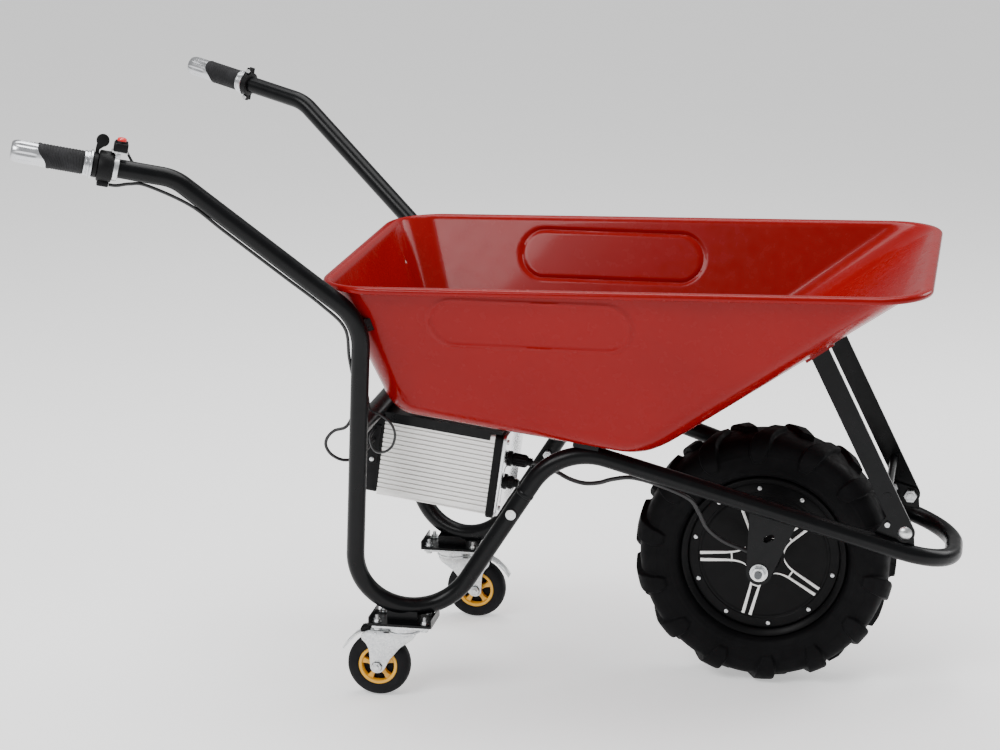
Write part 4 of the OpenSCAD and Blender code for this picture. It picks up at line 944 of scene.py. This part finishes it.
def make_connectors():
    """Round sockets with ribbed coupling rings and plugs, each in its gland."""
    bm = bmesh.new()
    ahead = unit(under_floor([1, 0, 0]) - under_floor([0, 0, 0]))
    for y, z, reach in CONNECTORS:
        spot = under_floor([PLATE_X + PLATE_T, y, z])
        add_turned(bm, [(0, -8), (8, -8), (8, 0), (12, 0), (12.6, 1), (12.6, 5), (11.5, 6),
                        (9.4, 6.4), (9.4, reach - 6), (8.4, reach - 5), (6.4, reach - 4.6),
                        (6.0, reach + 1), (5.0, reach + 2), (0, reach + 2)],
                   36, spot, ahead, (0, 1, 0))
        for i in range(14):
            turn = TAU * i / 14
            side = np.array([0, math.cos(turn), 0]) + math.sin(turn) * np.cross(ahead, [0, 1, 0])
            path = [spot + side * 9.6 + ahead * d for d in (7.5, 9, reach - 9, reach - 7.5)]
            add_tube(bm, path, [0.3, 1.1, 1.1, 0.3], 8)
        bend = spot + ahead * (reach - 2)
        for d in (0.5, 3.5, 6.5):
            add_turned(bm, [(6.0, d - 1), (7.0, d - 0.6), (7.0, d + 0.6), (6.0, d + 1), (5, d)],
                       24, bend - ahead * 3, ahead, (0, 1, 0))
    publish("plugs", bm, "black_plastic", ("power_connectors",))


make_case()
make_battery_ends()
make_connectors()

# ---------------------------------------------------------------- hand controls

GRIP_START, GRIP_L, RING_L, LEVER_T = 41, 58, 13, 7
RING_AT = GRIP_START + GRIP_L + 0.1
LEVER_AT = RING_AT + RING_L + 0.4
HOUSING_AT, HOUSING_L = LEVER_AT + LEVER_T + 0.4, 22
CLAMP_AT, CLAMP_L, PLATE_REAR = HOUSING_AT + HOUSING_L + 0.1, 8, 6
SWITCH_BASE, SWITCH_H, SWITCH_L, BUTTON_AT = 26.2, 15, 21, 6.5
SWITCH_REAR = 4
RUBBER_EDGE, RUBBER_WAVE = 39, 8


def on_handle(side, along):
    """Places (u across, v up, w towards the tray) on a handle."""
    end = mirrored(HANDLE_END, side)
    w = unit(mirrored(UPPER_BEND, side) - end)
    u = unit(np.cross([0, 0, 1], w))
    v = np.cross(w, u)
    return oriented(end + w * along, u, v, w), (end + w * along, u, v, w)


def add_sleeve(bm, profile, side, along, steps=48):
    """A sleeve round a handle: profile is its outside, closed on the tube."""
    _, (origin, u, _, w) = on_handle(side, along)
    bore = TUBE_R + 0.1
    closed = [(bore, profile[0][1])] + list(profile) + [(bore, profile[-1][1])]
    add_turned(bm, closed, steps, origin, w, u)


def grip_edge(turn):
    """Where the rubber begins: the silver cap reaches further along underneath."""
    return RUBBER_EDGE - RUBBER_WAVE * math.tanh(2 * math.sin(turn))


def make_grips():
    rubber, silver, rings_bm = bmesh.new(), bmesh.new(), bmesh.new()
    steps = 96
    for side in SIDES:
        _, (origin, u, v, w) = on_handle(side, 0)
        rings = []
        ribs = 13
        for turn in np.linspace(0, TAU, steps, endpoint=False):
            spoke = math.cos(turn) * u + math.sin(turn) * v
            start = grip_edge(turn)
            ledge = np.linspace(start + 7, GRIP_START + GRIP_L - 1, ribs * 6 + 1)
            wave = 17.6 - 0.75 * (0.5 + 0.5 * np.cos(
                np.arange(ribs * 6 + 1) * TAU / 6))
            profile = [(14.2, start), (16.7, start), (17.4, start + 0.8), (17.9, start + 3)]
            profile += list(zip(wave, ledge))
            profile += [(16.6, GRIP_START + GRIP_L), (14.2, GRIP_START + GRIP_L)]
            profile = np.array(profile)
            rings.append(origin + profile[:, :1] * spoke + profile[:, 1:] * w)
        add_skin(rubber, rings, loop=True)
        rings = []
        for turn in np.linspace(0, TAU, steps, endpoint=False):
            spoke = math.cos(turn) * u + math.sin(turn) * v
            flute = 1.5 * max(0.0, math.cos(8 * turn)) ** 1.5
            profile = np.array([
                (5.5, -2), (6.5, -5.2), (9, -6), (12, -5.6), (14.2, -3.8), (15.4 - flute * 0.2, -1),
                (16.2 - flute * 0.6, 3), (16.5 - flute, 7), (16.5 - flute, 24),
                (16.5 - flute * 0.5, 29), (16.5, 33), (16.5, 51), (14.2, 51), (14.2, 0.3), (5.5, 0.3)])
            rings.append(origin + profile[:, :1] * spoke + profile[:, 1:] * w)
        add_skin(silver, rings, loop=True)
        add_sleeve(rings_bm, [(17.5, 0), (18.6, 0.8), (18.6, 3.2), (17.6, 4), (17.6, 5),
                              (18.6, 5.8), (18.6, RING_L - 5), (19.5, RING_L - 4.2),
                              (21, RING_L - 3.4), (21, RING_L - 0.8), (20, RING_L)], side, RING_AT)
    publish("grip_sleeves", rubber, "grip_rubber", ("grip_rubbers",), sharp=50)
    publish("grip_caps", silver, "grip_silver", ("grip_ends",), sharp=45)
    publish("grip_collars", rings_bm, "grip_silver", ("grip_rings",))


def make_throttle():
    bm = bmesh.new()
    add_sleeve(bm, [(20.5, 0), (22.3, 0.7), (23, 2), (23, HOUSING_L - 3), (22, HOUSING_L - 1),
                    (20, HOUSING_L)], RIGHT, HOUSING_AT)
    place, _ = on_handle(RIGHT, HOUSING_AT)
    add_block(bm, (-11, -29, 2.5), (11, -19, HOUSING_L - 2.5), place, 1.5, 4)
    publish("throttle_body", bm, "black_plastic", ("throttle_housing",))
    bm = bmesh.new()
    add_sleeve(bm, [(17.5, 0), (18.8, 0.8), (18.8, LEVER_T - 0.8), (17.5, LEVER_T)],
               RIGHT, LEVER_AT)
    place, _ = on_handle(RIGHT, LEVER_AT)
    arc = np.radians(np.linspace(-75, 215, 26))
    disc = np.column_stack([9 + 9.5 * np.cos(arc), 37 + 9.5 * np.sin(arc)])
    paddle = np.concatenate([[(0.6, 16), (6.4, 16), (6.4, 23)], disc, [(0.6, 27)]])
    add_plate(bm, paddle, -2.5, 2.5, lambda p: place(np.asarray(p)[:, ::-1]), 1.3)
    publish("throttle_paddle", bm, "black_plastic", ("throttle_lever",))


def make_switch_clamp():
    """A clamp with a riser and a plate that carries the switch and its button."""
    bm = bmesh.new()
    add_sleeve(bm, [(18, 0), (19, 0.8), (19, CLAMP_L - 0.8), (18, CLAMP_L)], RIGHT, CLAMP_AT)
    place, (origin, u, v, w) = on_handle(RIGHT, CLAMP_AT)

    def upright(points):
        return place(np.asarray(points, float)[:, [0, 2, 1]])

    add_block(bm, (-11, 15, 0.3), (11, SWITCH_BASE - 2.5, CLAMP_L - 0.3), place, 0.8, 2)
    add_block(bm, (-11, -PLATE_REAR, SWITCH_BASE - 2.7), (11, 24 - PLATE_REAR, SWITCH_BASE - 0.1),
              upright, 0.5, 3)
    publish("switch_clamp", bm, "zinc", ("handle_clamps",))

    bm = bmesh.new()
    top = SWITCH_BASE + SWITCH_H
    add_block(bm, (-12, -SWITCH_REAR, SWITCH_BASE), (12, SWITCH_L - SWITCH_REAR, top - 3),
              upright, 1.5, 4)
    button = origin + w * BUTTON_AT
    add_turned(bm, [(7.6, top - 4), (9.6, top - 4), (9.6, top - 0.8), (9, top), (8, top),
                    (7.6, top - 0.6)], 40, button, v, u)
    publish("switch_box", bm, "black_plastic", ("switch_housing",))
    bm = bmesh.new()
    foot = SWITCH_BASE + 6.5
    add_turned(bm, [(0, foot + 13.5), (4, foot + 13.1), (6.3, foot + 12.1), (7, foot + 10.5),
                    (7, foot), (0, foot)], 40, button, v, u)
    publish("button_cap", bm, "red_button", ("power_button",))


def make_far_clamp():
    """A split collar on the left handle, held by a screw through each pair of ears."""
    bm, screws = bmesh.new(), bmesh.new()
    add_sleeve(bm, [(19, 0), (20, 0.8), (20, 9.2), (19, 10)], LEFT, LEVER_AT)
    place, (origin, u, v, w) = on_handle(LEFT, LEVER_AT)
    for s in SIDES:
        for low, high in ((-6, -1.2), (1.2, 6)):
            add_block(bm, (low, s * 22.5 - 6, 0.3), (high, s * 22.5 + 6, 9.7), place, 1, 2)
        add_turned(screws, [(0, -10.5), (2.6, -10.5), (3.4, -9.8), (3.4, -6), (2, -6), (2, 6),
                            (3.4, 6), (3.4, 9.8), (2.8, 10.5), (0, 10.5)], 18,
                   origin + v * s * 23.5 + w * 5, u, v)
    publish("split_collar", bm, "black_plastic", body="frame")
    publish("collar_screws", screws, "zinc", body="frame")


make_grips()
make_throttle()
make_switch_clamp()
make_far_clamp()

# ---------------------------------------------------------------- casters

KINGPIN_X, KINGPIN_Y, TOP_PLATE_H = -546, 196, 118
CASTER_R, CASTER_HALF, TRAIL = 50, 15, 40
FORK_TOP, FORK_T, CHEEK_Y = 109.7, 4, 16


def on_caster(side):
    """Places (ahead of the pin towards the wheel, across, up) on a caster."""
    turn = -1 if side == RIGHT else 1
    return oriented((KINGPIN_X, side * KINGPIN_Y, 0), (turn, 0, 0), (0, turn, 0), (0, 0, 1))


def cheek(side):
    """Places (ahead, up, across) on a caster, for plates that stand on edge."""
    place = on_caster(side)
    return lambda p: place(np.asarray(p, float)[..., [0, 2, 1]])


def make_fork(side, name):
    """Two cheeks under a bridge and a round race plate."""
    place, upright = on_caster(side), cheek(side)
    bm = bmesh.new()
    outline = softened([
        (-23, FORK_TOP - 3), (-18, FORK_TOP - 12), (2, 84), (20, 62), (28, 46), (33, 40.5),
        (40, 38.5), (47, 40.5), (51, 46), (51.5, 60), (53, 78), (58, 88), (64, 93),
        (66, FORK_TOP - 8), (58, FORK_TOP - 2), (50, FORK_TOP), (-18, FORK_TOP)], 5, 4)
    for s in SIDES:
        low = CHEEK_Y if s > 0 else -CHEEK_Y - FORK_T
        add_plate(bm, outline, low, low + FORK_T, upright, 1.1)
    bridge = softened([(-20, -20), (TRAIL - 6, -20), (TRAIL - 6, 20), (-20, 20)], 5, 4)
    add_plate(bm, bridge, FORK_TOP - FORK_T, FORK_TOP - 0.3, place, 0.8)
    add_turned(bm, [(6.1, FORK_TOP - FORK_T), (26, FORK_TOP - FORK_T), (28, FORK_TOP - 3),
                    (28, FORK_TOP - 1), (26.5, FORK_TOP), (6.1, FORK_TOP)],
               64, place([0, 0, 0]), (0, 0, 1), (1, 0, 0))
    publish(f"fork_{name}", bm, "zinc", (f"caster_fork_{name}",))


def make_axle_bolt(side, name):
    """A bolt through both cheeks with a hexagon head, a nut and a washer."""
    upright, wheel = cheek(side), on_caster(side)([TRAIL, 0, CASTER_R])
    reach = CHEEK_Y + FORK_T
    bm = bmesh.new()
    for s in SIDES:
        head = softened(hexagon(15), 0.8, 2) + np.array([TRAIL, CASTER_R])
        low, high = (reach + 0.6, reach + 5.4) if s > 0 else (-reach - 6, -reach - 0.6)
        add_plate(bm, head, low, high, upright, 0.7)
    add_turned(bm, [(0, -reach - 8), (4, -reach - 8), (5, -reach - 7), (5, -reach), (8.6, -reach),
                    (8.6, -reach + 0.1), (5, -reach + 0.1), (5, reach), (8.6, reach),
                    (8.6, reach + 0.7), (5, reach + 0.7), (5, reach + 0.9), (0, reach + 0.9)],
               32, wheel)
    publish(f"axle_bolt_{name}", bm, "zinc", (f"caster_axle_{name}",))


def make_caster_wheel(side, name):
    """A five-spoked yellow wheel, a black disc between its spokes as painted shade, and its tyre."""
    wheel, half = on_caster(side)([TRAIL, 0, CASTER_R]), CASTER_HALF
    bm = bmesh.new()
    boss = [(5.1, -half - 0.6), (9, -half - 0.6), (10, -half + 0.6), (10, -4)]
    rim = [(25.5, -half + 3.2), (26.5, -half + 2), (30, -half + 1.6), (31, -half + 2.4)]
    add_turned(bm, there_and_back(boss), 48, wheel)
    add_turned(bm, there_and_back(rim), 72, wheel)
    spokes = 5
    for i in range(spokes):
        turn = TAU * (i + 0.3) / spokes
        u = (math.cos(turn), 0, math.sin(turn))
        v = (-math.sin(turn), 0, math.cos(turn))
        blade = softened([(9, -4.5), (17, -3), (26.4, -5.5), (26.4, 5.5), (17, 3), (9, 4.5)], 1.5)
        add_plate(bm, blade, -10.5, 10.5, oriented(wheel, u, v, (0, 1, 0)), 1.0)
    publish(f"caster_wheel_{name}", bm, "caster_yellow", (f"caster_hub_{name}",))
    bm = bmesh.new()
    # A black disc between the spokes: painted shade standing in for the shade in the recessed openings
    # there
    add_turned(bm, [(9.5, -2), (26, -2), (26, 2), (9.5, 2)], 48, wheel)
    publish(f"caster_painted_shade_{name}", bm, "hub_black", body=f"caster_wheel_{name}")

    bm = bmesh.new()
    tread = [(31.05, -half + 2), (33, -half + 0.6), (36, -half), (42, -half + 0.2),
             (46.5, -half + 2.4), (49, -half + 6.4), (49.8, -half + 10)]
    add_turned(bm, there_and_back(tread, [(CASTER_R, 0)]), 96, wheel)
    publish(f"caster_tread_{name}", bm, "caster_rubber", (f"caster_tyre_{name}",))


def make_brake(side, name):
    """A bent strip with its pin, and a ribbed pad for the foot."""
    place, upright = on_caster(side), cheek(side)
    reach = CHEEK_Y + FORK_T
    bm = bmesh.new()
    strip = np.array([(-3, 53), (-3, 57), (10, 58.5), (24, 56), (38, 48), (50, 36), (58, 24),
                      (56, 22), (47.5, 33.5), (36, 45.3), (23, 53), (19, 51.5), (18, 49.5),
                      (10, 51.6), (5, 51.6)]) + np.array([TRAIL, CASTER_R])
    add_plate(bm, softened(strip, 1.5, 3), -9.5, 9.5, upright, 0.8)
    add_turned(bm, [(0, -reach - 1), (2.4, -reach - 1), (3, -reach), (3, reach),
                    (2.4, reach + 1), (0, reach + 1)], 24, place([TRAIL + 2, 0, CASTER_R + 54]))
    publish(f"brake_lever_{name}", bm, "zinc", (f"brake_pedal_{name}",))
    bm = bmesh.new()
    ahead = unit([14, -3.2])
    up = np.array([-ahead[1], ahead[0]])
    base = np.array([TRAIL + 11.5, CASTER_R + 55.6])
    pad = [base, base + ahead * 16, base + ahead * 16 + up * 7, base + up * 7]
    add_plate(bm, softened(pad, 2, 3), -11, 11, upright, 1.2)
    for i in range(5):
        foot = base + ahead * (1.6 + 2.9 * i) + up * 6.6
        rib = [foot, foot + ahead * 1.6, foot + ahead * 1.4 + up * 1.6, foot + ahead * 0.2 + up * 1.6]
        add_plate(bm, softened(rib, 0.4, 2), -10, 10, upright, 0.4)
    publish(f"brake_pad_{name}", bm, "black_plastic", body=f"caster_brake_{name}")


def make_mount_plates():
    """The bolts of the plates over the casters: nuts with washers and thread ends."""
    bm = bmesh.new()
    for side in SIDES:
        place = oriented((KINGPIN_X, side * KINGPIN_Y, TOP_PLATE_H), (1, 0, 0), (0, 1, 0), (0, 0, 1))
        for x, y in ((x, y) for x in (-38, 38) for y in (-24, 24)):
            shifted = oriented(place([x, y, 0]), (1, 0, 0), (0, 1, 0), (0, 0, 1))
            add_plate(bm, softened(hexagon(10), 0.6, 2), 9.2, 13.8, shifted, 0.5)
            add_plate(bm, softened(hexagon(10), 0.6, 2), -4.1, -0.3, shifted, 0.5)
            add_turned(bm, [(0, -0.3), (3, -0.3), (3, 18.6), (2.3, 19.6), (0, 19.6)], 20,
                       shifted([0, 0, 0]), (0, 0, 1), (1, 0, 0))
            add_turned(bm, [(3.1, 8.2), (6.6, 8.2), (6.9, 8.5), (6.9, 9.1), (3.1, 9.1)], 28,
                       shifted([0, 0, 0]), (0, 0, 1), (1, 0, 0))
    publish("plate_bolts", bm, "zinc", ("caster_bolts",))


for side, name in ((RIGHT, "right"), (LEFT, "left")):
    for make in (make_fork, make_axle_bolt, make_caster_wheel, make_brake):
        make(side, name)
make_mount_plates()

# ---------------------------------------------------------------- cables

MOTOR_ROUTE = [
    (-372.2, -40, 344.8), (-350, -48, 343), (-325, -76, 342), (-300, -96, 337),
    (-276, -104, 334), (-252, -110, 338), (-230, -118, 347), (-196, -128, 354),
    (-150, -126, 342), (-110, -118, 322), (-96, -104, 296), (-84, -92, 268),
    (-58, -86, 246), (-26, -80, 232), (-6, -78, 222), (0, -78, 216)]
THROTTLE_ROUTE = [
    (-933.2, -407, 839.2), (-922, -403.2, 837.7), (-904.3, -397.1, 839.5),
    (-880.8, -389, 836.3), (-822.9, -367.9, 805.5), (-777.4, -349.5, 764.8),
    (-701.5, -318.9, 697), (-645.8, -296.5, 647.3), (-614.4, -279.5, 609),
    (-611.2, -267.3, 561), (-608.7, -250.5, 520), (-605, -240, 484), (-618, -232, 455),
    (-628, -231, 441), (-645, -231, 435), (-657, -230, 422), (-659, -228, 408),
    (-650, -225, 394), (-634, -214, 384), (-618, -180, 380), (-614, -140, 384),
    (-614, -112, 386.5), (-614, -92.4, 386.5)]
SWITCH_ROUTE = [
    (-918.6, -388.9, 893.3), (-913.6, -379.2, 884.5), (-903.2, -377.2, 866),
    (-883, -371.8, 853.5), (-819, -347.8, 818.9), (-773.5, -329.4, 778.2),
    (-697.6, -298.8, 710.4), (-647, -278.4, 660), (-612.7, -267.6, 610.2),
    (-605.7, -255.6, 565), (-597, -246, 535), (-592, -231, 492), (-588, -231, 472),
    (-572, -230, 463), (-557, -228, 450), (-551, -226, 432), (-557, -222, 412),
    (-573, -212, 399), (-592, -192, 396), (-608, -150, 402), (-612, -112, 403.4),
    (-612, -92.4, 403.4)]
ROUTES = (("motor_cable", MOTOR_ROUTE, 3.5), ("throttle_cable", THROTTLE_ROUTE, 2.5),
          ("switch_cable", SWITCH_ROUTE, 2.0))


def through(points, steps=10):
    """A smooth path through points."""
    p = np.asarray(points, float)
    q = np.concatenate([[2 * p[0] - p[1]], p, [2 * p[-1] - p[-2]]])
    out = []
    for a, b, c, d in zip(q, q[1:], q[2:], q[3:]):
        for t in np.arange(steps) / steps:
            out.append(0.5 * (2 * b + (c - a) * t + (2 * a - 5 * b + 4 * c - d) * t ** 2
                              + (3 * b - a - 3 * c + d) * t ** 3))
    return np.array(out + [p[-1]])


def make_cables():
    for node, route, radius in ROUTES:
        bm = bmesh.new()
        path = through(route)
        add_tube(bm, path, radius, 16)
        publish(node.replace("cable", "flex"), bm, "cable", (node,))


make_cables()

# ---------------------------------------------------------------- studio


def plain_material(name, colour, rough, glow):
    n = Nodes(name)
    faint = n.ranged(n.noise(3, 2), 0, 1)
    n.to_shader("Base Color", n.mixed(faint, darker(colour, 0.985), colour))
    n.to_shader("Roughness", rough)
    n.to_shader("Emission Color", (1, 1, 1, 1))
    n.to_shader("Emission Strength", glow)
    return n.material


def make_floor():
    bm = bmesh.new()
    bmesh.ops.create_grid(bm, x_segments=2, y_segments=2, size=14)
    mesh = bpy.data.meshes.new("studio_floor")
    bm.to_mesh(mesh)
    bm.free()
    floor = bpy.data.objects.new("studio_floor", mesh)
    mesh.materials.append(plain_material("studio_white", (0.95, 0.95, 0.95), 0.9, 0.55))
    bpy.context.scene.collection.objects.link(floor)
    floor.location.z = -0.0005


def add_light(name, size, power, spot, aim, colour=(1, 1, 1)):
    data = bpy.data.lights.new(name, "AREA")
    data.shape, data.size, data.size_y = "RECTANGLE", *size
    data.energy, data.color = power, colour
    light = bpy.data.objects.new(name, data)
    bpy.context.scene.collection.objects.link(light)
    light.location = spot
    light.rotation_euler = (Vector(aim) - Vector(spot)).to_track_quat("-Z", "Y").to_euler()


def make_studio():
    make_floor()
    world = bpy.data.worlds.new("studio")
    bpy.context.scene.world = world
    world.use_nodes = True
    sky = world.node_tree.nodes["Background"]
    sky.inputs["Color"].default_value = (1, 1, 1, 1)
    sky.inputs["Strength"].default_value = 0.45
    add_light("key", (2.2, 1.4), 95, (-1.6, -2.6, 2.8), (0, 0, 0.4))
    add_light("top", (3.0, 2.0), 110, (0.2, 0.4, 3.2), (0, 0, 0.4))
    add_light("rim", (1.6, 1.2), 35, (2.4, 1.6, 1.8), (0.2, 0, 0.4))


make_studio()
